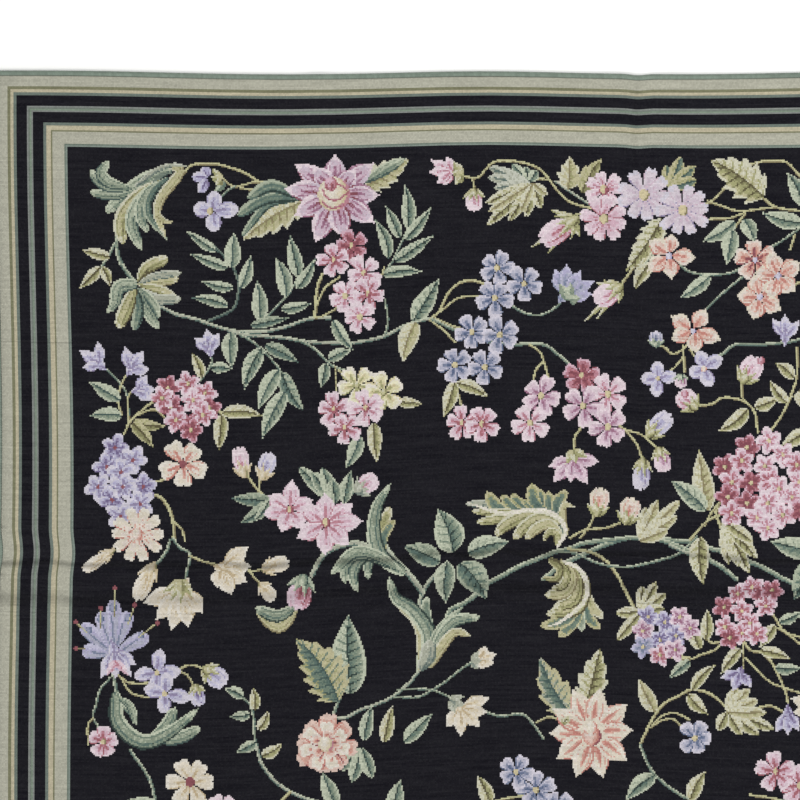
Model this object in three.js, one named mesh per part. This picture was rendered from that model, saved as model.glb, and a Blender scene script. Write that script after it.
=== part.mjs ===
// A flat floral wool rug of 8 by 10 feet, lying face up on a floor.
// One worked cloth carries the whole design, and an overcast wool binding closes each of its four edges.
// Lengths are in millimetres. X runs across the rug, Y along it, and the floor is at Z = 0 under its middle.
import * as THREE from 'three';

// Overall size, over the bindings.
const RUG_WIDTH = 2438;
const RUG_LENGTH = 3048;
// The worked cloth, with its canvas and backing.
const CLOTH_THICKNESS = 6;
// The overcast edge, a little thicker than the cloth that it closes.
const BINDING_WIDTH = 10;
const BINDING_HEIGHT = 7.4;
const SEAM_GAP = 0.3;

// The rug was stored folded in quarters across and in sixths along, and each fold has left a soft crease.
// rise is how high the cloth stands beside or along the crease, and reach how far it takes to lie down again.
const FOLDS_ACROSS = [
  { place: -RUG_WIDTH / 4, kind: 'ridge', rise: 3.2, reach: 52 },
  { place: 0, kind: 'valley', rise: 1.8, reach: 110 },
  { place: RUG_WIDTH / 4, kind: 'ridge', rise: 2.6, reach: 52 },
];
const FOLDS_ALONG = [
  { place: -RUG_LENGTH / 3, kind: 'ridge', rise: 3.0, reach: 48 },
  { place: -RUG_LENGTH / 6, kind: 'valley', rise: 1.4, reach: 100 },
  { place: 0, kind: 'ridge', rise: 2.4, reach: 52 },
  { place: RUG_LENGTH / 6, kind: 'ridge', rise: 3.4, reach: 48 },
  { place: RUG_LENGTH / 3, kind: 'valley', rise: 1.4, reach: 100 },
];
// How far a fold line strays from straight, and how much its rise varies along it.
const FOLD_STRAY = 26;
const RISE_VARIES = 0.35;

// The edges draw in between the corners. from_start is measured from the left corner of the top and bottom
// edges, and from the top corner of the side edges.
const EDGE_WAVES = {
  left: [
    { from_start: 690, reach: 620, depth: 9.5 },
    { from_start: 935, reach: 60, depth: 2.6 },
    { from_start: 2240, reach: 640, depth: 7.5 },
  ],
  right: [
    { from_start: 820, reach: 640, depth: 7.0 },
    { from_start: 2330, reach: 560, depth: 8.5 },
  ],
  top: [
    { from_start: 560, reach: 470, depth: 7.5 },
    { from_start: 1290, reach: 480, depth: 7.5 },
    { from_start: 1900, reach: 400, depth: 6.0 },
  ],
  bottom: [
    { from_start: 610, reach: 520, depth: 7.0 },
    { from_start: 1780, reach: 560, depth: 8.0 },
  ],
};

const CLOTH_COLOUR = 0x1f1e24;
const BINDING_COLOUR = 0x778478;

// 1 at the middle of a bump and 0 from its reach outwards, with a level start and end.
function bump(distance, reach) {
  const share = Math.min(Math.abs(distance) / reach, 1);
  return 0.5 + 0.5 * Math.cos(Math.PI * share);
}

// How far an edge is drawn in, at a distance from its first corner.
function drawnIn(side, fromStart) {
  return EDGE_WAVES[side].reduce(
    (sum, wave) => sum + wave.depth * bump(fromStart - wave.from_start, wave.reach), 0);
}

// Height beside one crease: a ridge stands along it, and a valley has a low swell on both sides of it.
function creaseHeight(fold, distance) {
  if (fold.kind === 'ridge') return fold.rise * bump(distance, fold.reach) ** 1.5;
  return fold.rise * bump(Math.abs(distance) - fold.reach / 2, fold.reach / 2);
}

// How much of its full rise a crease has, along its length.
function unevenness(fold, along) {
  return 1 - RISE_VARIES * (0.5 + 0.5 * Math.sin(along / 210 + fold.place / 90));
}

// Height of the cloth's underside over the floor, from the even grid place before the waves.
function lift(across, along) {
  const fromAcross = FOLDS_ACROSS.map(
    (fold) => creaseHeight(fold, across - fold.place) * unevenness(fold, along));
  const fromAlong = FOLDS_ALONG.map(
    (fold) => creaseHeight(fold, along - fold.place) * unevenness(fold, across));
  return Math.max(...fromAcross, ...fromAlong);
}

// Where a point of the evenly woven rectangle really lies: the edges' waves fade towards the middle,
// and the fold lines stray a little.
function laidPlace(across, along) {
  const halfWidth = RUG_WIDTH / 2;
  const halfLength = RUG_LENGTH / 2;
  const fromTop = halfLength - along;
  const fromLeft = across + halfWidth;
  const toRight = (1 + across / halfWidth) / 2;
  const toTop = (1 + along / halfLength) / 2;
  const inner = (1 - (across / halfWidth) ** 2) * (1 - (along / halfLength) ** 2);
  const x = across
    + drawnIn('left', fromTop) * (1 - toRight) - drawnIn('right', fromTop) * toRight
    + inner * FOLD_STRAY * Math.sin(along / 430 + 0.6);
  const y = along
    + drawnIn('bottom', fromLeft) * (1 - toTop) - drawnIn('top', fromLeft) * toTop
    + inner * FOLD_STRAY * Math.sin(across / 360 + 2.1);
  return [x, y];
}

// Grid lines across one direction: both ends, each crease's shape, and a line midway between creases.
function gridLines(folds, half) {
  const lines = [-half, half];
  folds.forEach((fold, i) => {
    const shares = fold.kind === 'ridge' ? [-1, -0.4, 0, 0.4, 1] : [-1, -0.5, 0, 0.5, 1];
    shares.forEach((share) => lines.push(fold.place + share * fold.reach));
    const next = i + 1 < folds.length ? folds[i + 1].place : half;
    lines.push((fold.place + next) / 2);
  });
  lines.push((folds[0].place - half) / 2);
  return lines.sort((a, b) => a - b);
}

const CLOTH_HALF_WIDTH = RUG_WIDTH / 2 - BINDING_WIDTH - SEAM_GAP;
const CLOTH_HALF_LENGTH = RUG_LENGTH / 2 - BINDING_WIDTH - SEAM_GAP;
const LINES_ACROSS = gridLines(FOLDS_ACROSS, CLOTH_HALF_WIDTH);
const LINES_ALONG = gridLines(FOLDS_ALONG, CLOTH_HALF_LENGTH);

// Moves every point of a geometry by a function of its place.
function reshape(geometry, move) {
  const points = geometry.attributes.position;
  for (let i = 0; i < points.count; i += 1) {
    points.setXYZ(i, ...move(points.getX(i), points.getY(i), points.getZ(i)));
  }
  geometry.computeVertexNormals();
  return geometry;
}

function woolMaterial(color) {
  return new THREE.MeshStandardMaterial({ color, roughness: 0.95, metalness: 0 });
}

// The cloth is one slab of even thickness that follows the creases and the drawn-in edges.
function makeCloth() {
  const columns = LINES_ACROSS.length - 1;
  const rows = LINES_ALONG.length - 1;
  const slab = new THREE.BoxGeometry(columns, rows, CLOTH_THICKNESS, columns, rows, 1);
  reshape(slab, (column, row, z) => {
    const across = LINES_ACROSS[Math.round(column + columns / 2)];
    const along = LINES_ALONG[Math.round(row + rows / 2)];
    const [x, y] = laidPlace(across, along);
    return [x, y, lift(across, along) + z + CLOTH_THICKNESS / 2];
  });
  const cloth = new THREE.Mesh(slab, woolMaterial(CLOTH_COLOUR));
  cloth.name = 'rug_cloth';
  return cloth;
}

// The binding's section: flat against the cloth and on the floor, and round on top and outside.
function bindingSection() {
  const section = new THREE.Shape();
  section.moveTo(0, 0);
  section.lineTo(BINDING_WIDTH * 0.66, 0);
  section.lineTo(BINDING_WIDTH * 0.92, BINDING_HEIGHT * 0.2);
  section.lineTo(BINDING_WIDTH, BINDING_HEIGHT * 0.48);
  section.lineTo(BINDING_WIDTH * 0.9, BINDING_HEIGHT * 0.8);
  section.lineTo(BINDING_WIDTH * 0.6, BINDING_HEIGHT);
  section.lineTo(BINDING_WIDTH * 0.25, BINDING_HEIGHT * 0.96);
  section.lineTo(0, BINDING_HEIGHT * 0.82);
  section.closePath();
  return section;
}

// Each edge's binding: the way from the cloth outwards, and the grid lines that it runs along.
// The top and bottom bindings reach round the corners, and the side bindings end against them.
const FULL_LINES = [-RUG_WIDTH / 2, ...LINES_ACROSS, RUG_WIDTH / 2];
const BINDINGS = [
  { name: 'binding_left', outward: [-1, 0], lines: LINES_ALONG },
  { name: 'binding_right', outward: [1, 0], lines: LINES_ALONG },
  { name: 'binding_top', outward: [0, 1], lines: FULL_LINES },
  { name: 'binding_bottom', outward: [0, -1], lines: FULL_LINES },
];

// The section is carried along the cloth's own edge, so that the seam stays even and rises at each crease.
function makeBinding({ name, outward, lines }) {
  const steps = lines.length - 1;
  const geometry = new THREE.ExtrudeGeometry(bindingSection(), { depth: steps, steps, bevelEnabled: false });
  const [outX, outY] = outward;
  reshape(geometry, (out, up, step) => {
    const line = lines[Math.round(step)];
    const across = outX === 0 ? line : outX * CLOTH_HALF_WIDTH;
    const along = outY === 0 ? line : outY * CLOTH_HALF_LENGTH;
    const [x, y] = laidPlace(across, along);
    const away = SEAM_GAP + out;
    return [x + outX * away, y + outY * away, lift(across, along) + up];
  });
  if (outX - outY > 0) flipFaces(geometry);
  const binding = new THREE.Mesh(geometry, woolMaterial(BINDING_COLOUR));
  binding.name = name;
  return binding;
}

// Carrying the section along the right and the bottom edge mirrors it, so its faces are turned back.
function flipFaces(geometry) {
  const points = geometry.attributes.position;
  const place = new THREE.Vector3();
  for (let i = 0; i < points.count; i += 3) {
    place.fromBufferAttribute(points, i + 1);
    points.setXYZ(i + 1, points.getX(i + 2), points.getY(i + 2), points.getZ(i + 2));
    points.setXYZ(i + 2, place.x, place.y, place.z);
  }
  geometry.computeVertexNormals();
}

const rug = new THREE.Group();
rug.name = 'rug';
rug.add(makeCloth());
BINDINGS.forEach((binding) => rug.add(makeBinding(binding)));

export default rug;
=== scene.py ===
import math

import bpy
import numpy as np
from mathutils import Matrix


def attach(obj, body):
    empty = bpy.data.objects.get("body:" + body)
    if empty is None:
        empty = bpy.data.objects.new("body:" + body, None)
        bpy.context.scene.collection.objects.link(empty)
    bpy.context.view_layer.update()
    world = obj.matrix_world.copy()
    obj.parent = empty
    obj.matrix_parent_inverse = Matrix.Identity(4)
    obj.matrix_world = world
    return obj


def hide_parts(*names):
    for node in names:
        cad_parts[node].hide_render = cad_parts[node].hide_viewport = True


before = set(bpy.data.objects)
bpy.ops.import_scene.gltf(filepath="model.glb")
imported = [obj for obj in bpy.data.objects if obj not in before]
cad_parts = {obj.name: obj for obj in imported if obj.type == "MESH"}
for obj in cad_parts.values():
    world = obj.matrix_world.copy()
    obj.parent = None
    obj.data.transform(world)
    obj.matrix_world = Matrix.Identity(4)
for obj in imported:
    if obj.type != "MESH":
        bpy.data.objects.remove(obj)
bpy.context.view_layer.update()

bl_info = {
    "name": "Floral wool rug",
    "version": (1, 0, 0),
    "blender": (4, 5, 0),
    "location": "View3D > Sidebar > Rug",
    "description": "Works a flat floral wool rug stitch by stitch and closes its edges",
    "category": "Object",
}

# The rug's sizes, in metres. X runs across it, Y along it, and the floor is at Z = 0.
RUG_WIDTH = 2.438
RUG_LENGTH = 3.048
CLOTH_THICKNESS = 0.006
BINDING_WIDTH = 0.010
BINDING_HEIGHT = 0.0074
SEAM_GAP = 0.0003
CLOTH_WIDTH = RUG_WIDTH - 2 * (BINDING_WIDTH + SEAM_GAP)
CLOTH_LENGTH = RUG_LENGTH - 2 * (BINDING_WIDTH + SEAM_GAP)

# The storage folds. Columns: place, kind, rise, reach.
FOLDS_ACROSS = (
    (-RUG_WIDTH / 4, "ridge", 0.0032, 0.052),
    (0.0, "valley", 0.0018, 0.110),
    (RUG_WIDTH / 4, "ridge", 0.0026, 0.052),
)
FOLDS_ALONG = (
    (-RUG_LENGTH / 3, "ridge", 0.0030, 0.048),
    (-RUG_LENGTH / 6, "valley", 0.0014, 0.100),
    (0.0, "ridge", 0.0024, 0.052),
    (RUG_LENGTH / 6, "ridge", 0.0034, 0.048),
    (RUG_LENGTH / 3, "valley", 0.0014, 0.100),
)
FOLD_STRAY = 0.026
RISE_VARIES = 0.35

# Where the edges draw in. Columns: distance from the first corner, reach, depth.
EDGE_WAVES = {
    "left": ((0.690, 0.620, 0.0095), (0.905, 0.050, 0.0042), (2.240, 0.640, 0.0075)),
    "right": ((0.820, 0.640, 0.0070), (2.330, 0.560, 0.0085)),
    "top": ((0.560, 0.470, 0.0075), (1.216, 0.030, 0.0022), (1.290, 0.480, 0.0075), (1.900, 0.400, 0.0060)),
    "bottom": ((0.610, 0.520, 0.0070), (1.780, 0.560, 0.0080)),
}

# Where painted shade and wear darken the wool along the creases. Columns: way, place, reach, share of the
# light lost.
CREASE_SHADE_AND_WEAR = (
    ("along", 0.598, 0.011, 0.42), ("along", 0.534, 0.020, 0.26), ("along", -0.566, 0.014, 0.24),
    ("across", -0.006, 0.010, 0.10), ("across", 0.603, 0.010, 0.10),
)

# The photo's scale on the rug, and where the rug's top left corner and its middle lie in the photo.
METRES_PER_PIXEL = 0.00188
CORNER_X, CORNER_Y = -8.5, 70.2
MIDDLE_X = CORNER_X + RUG_WIDTH / 2 / METRES_PER_PIXEL
MIDDLE_Y = CORNER_Y + RUG_LENGTH / 2 / METRES_PER_PIXEL
VIEW_CENTRE = (400.0, 400.0)
VIEW_PIXELS = 800.0

SEED = 8


# How the cloth lies

def bump(distance, reach):
    """1 at the middle of a bump and 0 from its reach outwards, along half a cosine wave."""
    return 0.5 + 0.5 * np.cos(np.pi * np.minimum(np.abs(distance) / reach, 1))


def drawn_in(side, from_start):
    """How far an edge is drawn in: the sum of its bumps at a distance from its first corner."""
    return sum(depth * bump(from_start - start, reach) for start, reach, depth in EDGE_WAVES[side])


def crease_height(kind, rise, reach, distance):
    """A ridge is a bump to the power 1.5 along the fold, and a valley has a low bump on both sides of it."""
    if kind == "ridge":
        return rise * bump(distance, reach) ** 1.5
    return rise * bump(np.abs(distance) - reach / 2, reach / 2)


def unevenness(place, along):
    """The share of its full rise that a crease has, a slow sine wave along its length."""
    return 1 - RISE_VARIES * (0.5 + 0.5 * np.sin(along / 0.210 + place / 0.090))


def lift(across, along):
    """Height of the cloth's underside over the floor: the highest of all creases at each place."""
    heights = [crease_height(kind, rise, reach, across - place) * unevenness(place, along)
               for place, kind, rise, reach in FOLDS_ACROSS]
    heights += [crease_height(kind, rise, reach, along - place) * unevenness(place, across)
                for place, kind, rise, reach in FOLDS_ALONG]
    return np.maximum.reduce(heights)


def laid_place(across, along):
    """Where an evenly worked place really lies: the edge waves fade linearly to the other side, and the
    fold lines stray along sine waves that fade to nothing at the edges."""
    half_width, half_length = RUG_WIDTH / 2, RUG_LENGTH / 2
    to_right = (1 + across / half_width) / 2
    to_top = (1 + along / half_length) / 2
    inner = (1 - (across / half_width) ** 2) * (1 - (along / half_length) ** 2)
    x = (across + drawn_in("left", half_length - along) * (1 - to_right)
         - drawn_in("right", half_length - along) * to_right
         + inner * FOLD_STRAY * np.sin(along / 0.430 + 0.6))
    y = (along + drawn_in("bottom", across + half_width) * (1 - to_top)
         - drawn_in("top", across + half_width) * to_top
         + inner * FOLD_STRAY * np.sin(across / 0.360 + 2.1))
    return x, y


# Yarns, as sRGB 0 to 255

YARNS = {
    "ground": (22, 21, 28),
    "sage": (179, 178, 162),
    "olive line": (125, 125, 98),
    "cream line": (189, 181, 155),
    "green line": (111, 122, 114),
    "stripe light": (133, 137, 133),
    "stripe mid": (116, 125, 116),
    "stripe green": (128, 143, 127),
    "inner dark": (115, 127, 116),
    "inner light": (131, 143, 134),
    "vein": (52, 66, 62),
    "deep teal": (70, 88, 84),
    "teal": (92, 112, 104),
    "leaf mid": (114, 130, 115),
    "leaf soft": (140, 151, 132),
    "leaf pale": (170, 178, 157),
    "leaf bright": (192, 198, 176),
    "brown gold": (92, 86, 62),
    "dark gold": (133, 131, 94),
    "gold": (163, 162, 118),
    "yellow": (188, 183, 147),
    "warm pale": (206, 204, 182),
    "silver dark": (96, 110, 104),
    "silver mid": (128, 138, 128),
    "silver": (168, 171, 154),
    "silver bright": (192, 194, 180),
    "stem yellow": (192, 189, 148),
    "stem brown": (139, 130, 98),
    "stem cool": (117, 129, 117),
    "lilac deep": (118, 106, 142),
    "lilac shade": (148, 138, 168),
    "lilac": (175, 171, 199),
    "lilac light": (193, 190, 211),
    "lilac bright": (209, 204, 215),
    "blue deep": (92, 104, 132),
    "blue dark": (122, 130, 153),
    "blue": (151, 154, 177),
    "blue light": (174, 174, 191),
    "blue bright": (192, 190, 203),
    "rose deep": (134, 78, 88),
    "rose": (163, 101, 109),
    "rose soft": (184, 130, 142),
    "pink": (208, 174, 187),
    "pink light": (217, 195, 205),
    "pink bright": (225, 209, 215),
    "mauve deep": (157, 112, 135),
    "mauve": (183, 150, 167),
    "mauve light": (204, 180, 194),
    "daisy": (202, 187, 199),
    "daisy bright": (212, 201, 209),
    "red": (141, 84, 90),
    "peach dark": (192, 131, 120),
    "peach": (208, 164, 150),
    "peach soft": (217, 191, 179),
    "peach light": (221, 210, 200),
    "cream shade": (190, 172, 140),
    "cream dull": (203, 188, 156),
    "cream": (212, 200, 174),
    "cream light": (218, 209, 192),
    "cream bright": (224, 218, 206),
    "butter": (214, 208, 168),
    "butter light": (225, 221, 192),
    "disc": (207, 195, 158),
}
YARN_NUMBER = {name: number for number, name in enumerate(YARNS)}

# Each family runs from its darkest yarn to its lightest.
FAMILIES = {
    "cool": ("vein", "teal", "leaf mid", "leaf soft", "leaf pale", "leaf bright"),
    "pale": ("deep teal", "leaf mid", "leaf soft", "leaf pale", "leaf bright"),
    "teal": ("vein", "teal", "teal", "leaf mid", "leaf soft", "leaf pale"),
    "gold": ("brown gold", "dark gold", "gold", "yellow", "warm pale"),
    "dark gold": ("brown gold", "dark gold", "dark gold", "gold", "yellow"),
    "yellow": ("stem brown", "gold", "yellow", "yellow", "warm pale"),
    "silver": ("silver dark", "silver mid", "silver", "silver", "silver bright"),
    "silver leaf": ("deep teal", "teal", "leaf mid", "silver", "yellow"),
    "mixed": ("deep teal", "teal", "leaf mid", "gold", "yellow"),
    "stem pale": ("yellow", "warm pale", "cream bright"),
    "stem yellow": ("stem brown", "stem yellow", "stem yellow"),
    "stem cool": ("teal", "leaf soft", "leaf bright"),
    "stem teal": ("deep teal", "stem cool"),
    "stem grey": ("teal", "silver", "leaf bright"),
    "lilac": ("lilac deep", "lilac shade", "lilac", "lilac light", "lilac bright"),
    "lilac soft": ("lilac shade", "lilac", "lilac light", "lilac bright", "lilac bright"),
    "blue": ("blue deep", "blue dark", "blue", "blue light", "blue bright", "lilac bright"),
    "lily blue": ("blue dark", "blue", "blue light", "lilac", "lilac light"),
    "pink": ("rose", "rose soft", "pink", "pink light", "pink bright"),
    "pink pale": ("rose soft", "pink", "pink light", "pink bright", "pink bright"),
    "rose bud": ("rose deep", "rose", "rose soft", "pink", "pink light"),
    "rose": ("rose deep", "rose deep", "rose", "rose soft", "pink"),
    "mauve": ("mauve deep", "mauve", "mauve light", "pink light", "pink bright"),
    "lotus": ("rose deep", "mauve deep", "mauve", "mauve light", "daisy", "pink bright"),
    "cream rose": ("peach dark", "peach", "peach light", "cream light", "cream bright"),
    "peach rose": ("red", "peach dark", "peach dark", "peach", "peach soft"),
    "daisy": ("lilac shade", "mauve light", "daisy", "daisy bright", "lilac bright"),
    "peach": ("peach dark", "peach", "peach soft", "peach light", "cream light"),
    "peach deep": ("red", "peach dark", "peach", "peach soft", "peach light"),
    "cream": ("cream shade", "cream", "cream light", "cream light", "cream bright"),
    "cream yellow": ("dark gold", "cream shade", "cream dull", "cream", "cream light"),
    "cream pink": ("rose soft", "cream dull", "cream", "cream light", "cream bright"),
    "butter": ("gold", "disc", "butter", "butter light", "cream bright"),
    "patch": ("blue deep", "blue dark", "blue"),
    "disc": ("stem brown", "disc", "disc"),
    "rose soft": ("rose", "rose soft", "pink"),
    "rose line": ("rose", "rose soft"),
    "red dot": ("red", "red"),
    "rose dot": ("rose deep", "rose", "disc"),
    "under rose": ("rose deep", "rose deep", "rose"),
    "under lilac": ("lilac deep", "blue deep", "blue dark"),
}

# A lobe's outline, with s from 0 at its base to 1 at its tip: the half width goes as s raised to the first
# number times (1 - s) raised to the second.
FORMS = {
    "leaf": (0.60, 1.02),
    "ogee": (1.40, 1.30),
    "petal": (0.95, 0.36),
    "pointed": (0.75, 0.68),
    "oval": (0.50, 0.50),
    "scroll": (0.62, 0.46),
    "band": (0.28, 0.52),
}


# Working the chart. Lengths are in the photo's pixels.

WHOLE_TURN = 2 * math.pi

# How far a stitch's tone strays, and the way towards the light that the motifs are shaded for.
GRAIN = 0.17
LIGHT_X, LIGHT_Y = -0.45, -0.89

# Lobes: the share of its width that one fills, the least half width, the room kept free of the form's two
# ends, and the half width at the start of a tooth with what a tooth adds.
FULLNESS = 0.95
THINNEST = 0.75
END_ROOM = 1e-4
TOOTH_START, TOOTH_RISE = 0.74, 0.36
LINE_STEPS = 4

# Leaves shorter than the first length have faint side veins, and narrower than the second have none.
LARGE_LEAF = 44
VEINED_LEAF = 9
LEAF_BEND = 0.08

# Flowers: how far the petals stray, how much wider they are than just to meet, the notch in a petal's tip,
# the smallest core, the count from which petals are worked as a daisy's, and the petals of a floret with the
# turn from one floret to the next.
PETALS_STRAY = 0.05
PETALS_OVERLAP = 2.15
PETAL_NOTCH = 0.07
LEAST_CORE = 1.2
DAISY_PETALS = 8
FLORET_PETALS = 5
FLORET_TURN = 0.7


def leaf_tone(s, t, off, length, lit):
    """A light half, and a half that is dark at the midrib and light at the rim, with slanted side veins that
    are clear on a large leaf and faint on others."""
    tone = np.where(t * lit > 0, 0.78 + 0.14 * np.abs(t), 0.26 + 0.54 * np.abs(t))
    side_vein = (s * length / 8 - 0.9 * np.abs(t)) % 1 < 0.24
    tone -= np.where(side_vein & (np.abs(t) < 0.76), 0.34 if length > LARGE_LEAF else 0.15, 0)
    tone += np.where(np.abs(t) > 0.80, 0.16, 0)
    return np.where((np.abs(off) < 0.80) & (s < 0.88), 0.10, tone)


def plain_leaf_tone(s, t, off, length, lit):
    """A small leaf: a light half and a darker half."""
    return np.where(t * lit > 0, 0.86, 0.50) - 0.25 * (1 - s) ** 2


def petal_tone(s, t, off, length, lit):
    """Darker at the base, with a darker streak up the middle, thin lines beside it on a broad petal, a light
    rim and a shaded edge on the left."""
    tone = 0.24 + 0.58 * s + 0.12 * t * lit
    tone -= np.where((np.abs(off + 0.5) < 1.4) & (np.abs(t) < 0.34) & (s < 0.66), 0.32, 0)
    tone -= np.where((np.abs(np.abs(off) - 5.2) < 0.9) & (np.abs(t) < 0.60) & (s < 0.74), 0.22, 0)
    tone += np.where((np.abs(t) > 0.62) | (s > 0.84), 0.26, 0)
    return tone - np.where((t < -0.78) & (s > 0.10) & (s < 0.84), 0.62, 0)


def daisy_tone(s, t, off, length, lit):
    """A narrow petal: a soft shade up its middle, lighter sides and a shaded edge on the left."""
    tone = 0.46 + 0.36 * s + 0.10 * t * lit - np.where((np.abs(t) < 0.30) & (s < 0.60), 0.16, 0)
    return tone + np.where(s > 0.84, 0.16, 0) - np.where((t < -0.80) & (s < 0.84), 0.46, 0)


def flame_tone(s, t, off, length, lit):
    """A large petal: light, with a deep flame up its middle, a thinner one on each side and a shaded edge on
    the left."""
    tone = 0.58 + 0.24 * s + 0.12 * t * lit
    tone -= np.where((np.abs(t + 0.10) < 0.55 * (0.92 - s)) & (s < 0.80), 0.42, 0)
    tone -= np.where((np.abs(t + 0.14) < 0.16 * (1.1 - s)) & (s < 0.66), 0.30, 0)
    tone -= np.where((np.abs(np.abs(t) - 0.60) < 0.09) & (s < 0.70), 0.34, 0)
    return tone - np.where((t < -0.80) & (s < 0.88), 0.55, 0)


def streaked_tone(s, t, off, length, lit):
    """A long petal: a dark line up its middle, light rims and a shaded edge."""
    tone = 0.34 + 0.34 * s + 0.30 * t * lit + 0.22 * np.abs(t)
    tone = np.where((np.abs(off + 0.12 * length * (s - 0.4)) < 0.8) & (s > 0.15) & (s < 0.70), 0.10, tone)
    tone += np.where(np.abs(t) > 0.76, 0.22, 0)
    return tone - np.where((t < -0.86) & (s < 0.75), 0.75, 0)


def banded_tone(s, t, off, length, lit):
    """A curled lobe: bands along it, from a dark side to a light side, and a pale tip."""
    tone = 0.56 + 0.34 * t * lit + 0.17 * np.cos(7.5 * t + 2.5 * s)
    tone += np.where(t * lit > 0.70, 0.22, 0) + np.where((s > 0.80) | (t * lit < -0.93), 0.15, 0)
    tone -= np.where((t * lit < -0.62) & (t * lit > -0.90) & (s < 0.85), 0.25, 0)
    return tone - 0.30 * (1 - s) ** 3


def hollow_tone(s, t, off, length, lit):
    """A scroll's side lobe: dark along its middle near the base, and pale at its rim and tip."""
    return 0.10 + 0.42 * np.abs(t) + 0.42 * s + np.where((np.abs(t) > 0.72) | (s > 0.86), 0.22, 0)


def rolled_tone(s, t, off, length, lit):
    """A scroll's rolled lobe: pale, with two thin darker lines along it and a bright lit rim."""
    tone = 0.62 + 0.18 * t * lit - np.where(np.abs(np.abs(t - 0.1 * lit) - 0.42) < 0.11, 0.30, 0)
    tone -= np.where((t * lit < -0.74) & (s < 0.88), 0.40, 0)
    return tone + np.where((t * lit > 0.66) | (s > 0.90), 0.24, 0)


def ball_tone(s, t, off, length, lit):
    """A rounded bud: lightest a little to the lit side, and darker round its rim and base."""
    return 0.95 - 0.62 * np.abs(t - 0.25 * lit) ** 1.6 - 0.40 * (1 - s) ** 2


def plain_tone(s, t, off, length, lit):
    """One even tone."""
    return np.full_like(s, 0.7)


TONES = {
    "leaf": leaf_tone,
    "small leaf": plain_leaf_tone,
    "petal": petal_tone,
    "daisy": daisy_tone,
    "flame": flame_tone,
    "streaked": streaked_tone,
    "banded": banded_tone,
    "hollow": hollow_tone,
    "rolled": rolled_tone,
    "ball": ball_tone,
    "plain": plain_tone,
}


def lit_side(ex, ey):
    """1 where the light falls on the right hand side of a way (ex, ey) over the photo, and -1 otherwise."""
    return 1 if ex * LIGHT_Y - ey * LIGHT_X > 0 else -1


def half_width(share, width, form):
    """Half of a lobe's width at a share of its length, by its form, which is 1 where the form is widest."""
    rises, falls = FORMS[form]
    peak = rises / (rises + falls)
    return FULLNESS * width / 2 * (share / peak) ** rises * ((1 - share) / (1 - peak)) ** falls


def smooth_line(points):
    """A line through the points whose slope at each one is half the step between its two neighbours."""
    p = np.array(points, float)
    ends = np.vstack([2 * p[0] - p[1], p, 2 * p[-1] - p[-2]])
    before, start, end, after = ends[:-3], ends[1:-2], ends[2:-1], ends[3:]
    u = (np.arange(LINE_STEPS) / LINE_STEPS)[:, None, None]
    spans = 0.5 * (2 * start + (end - before) * u + (2 * before - 5 * start + 4 * end - after) * u ** 2
                   + (3 * start - before - 3 * end + after) * u ** 3)
    return np.vstack([spans.transpose(1, 0, 2).reshape(-1, 2), p[-1:]])


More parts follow.
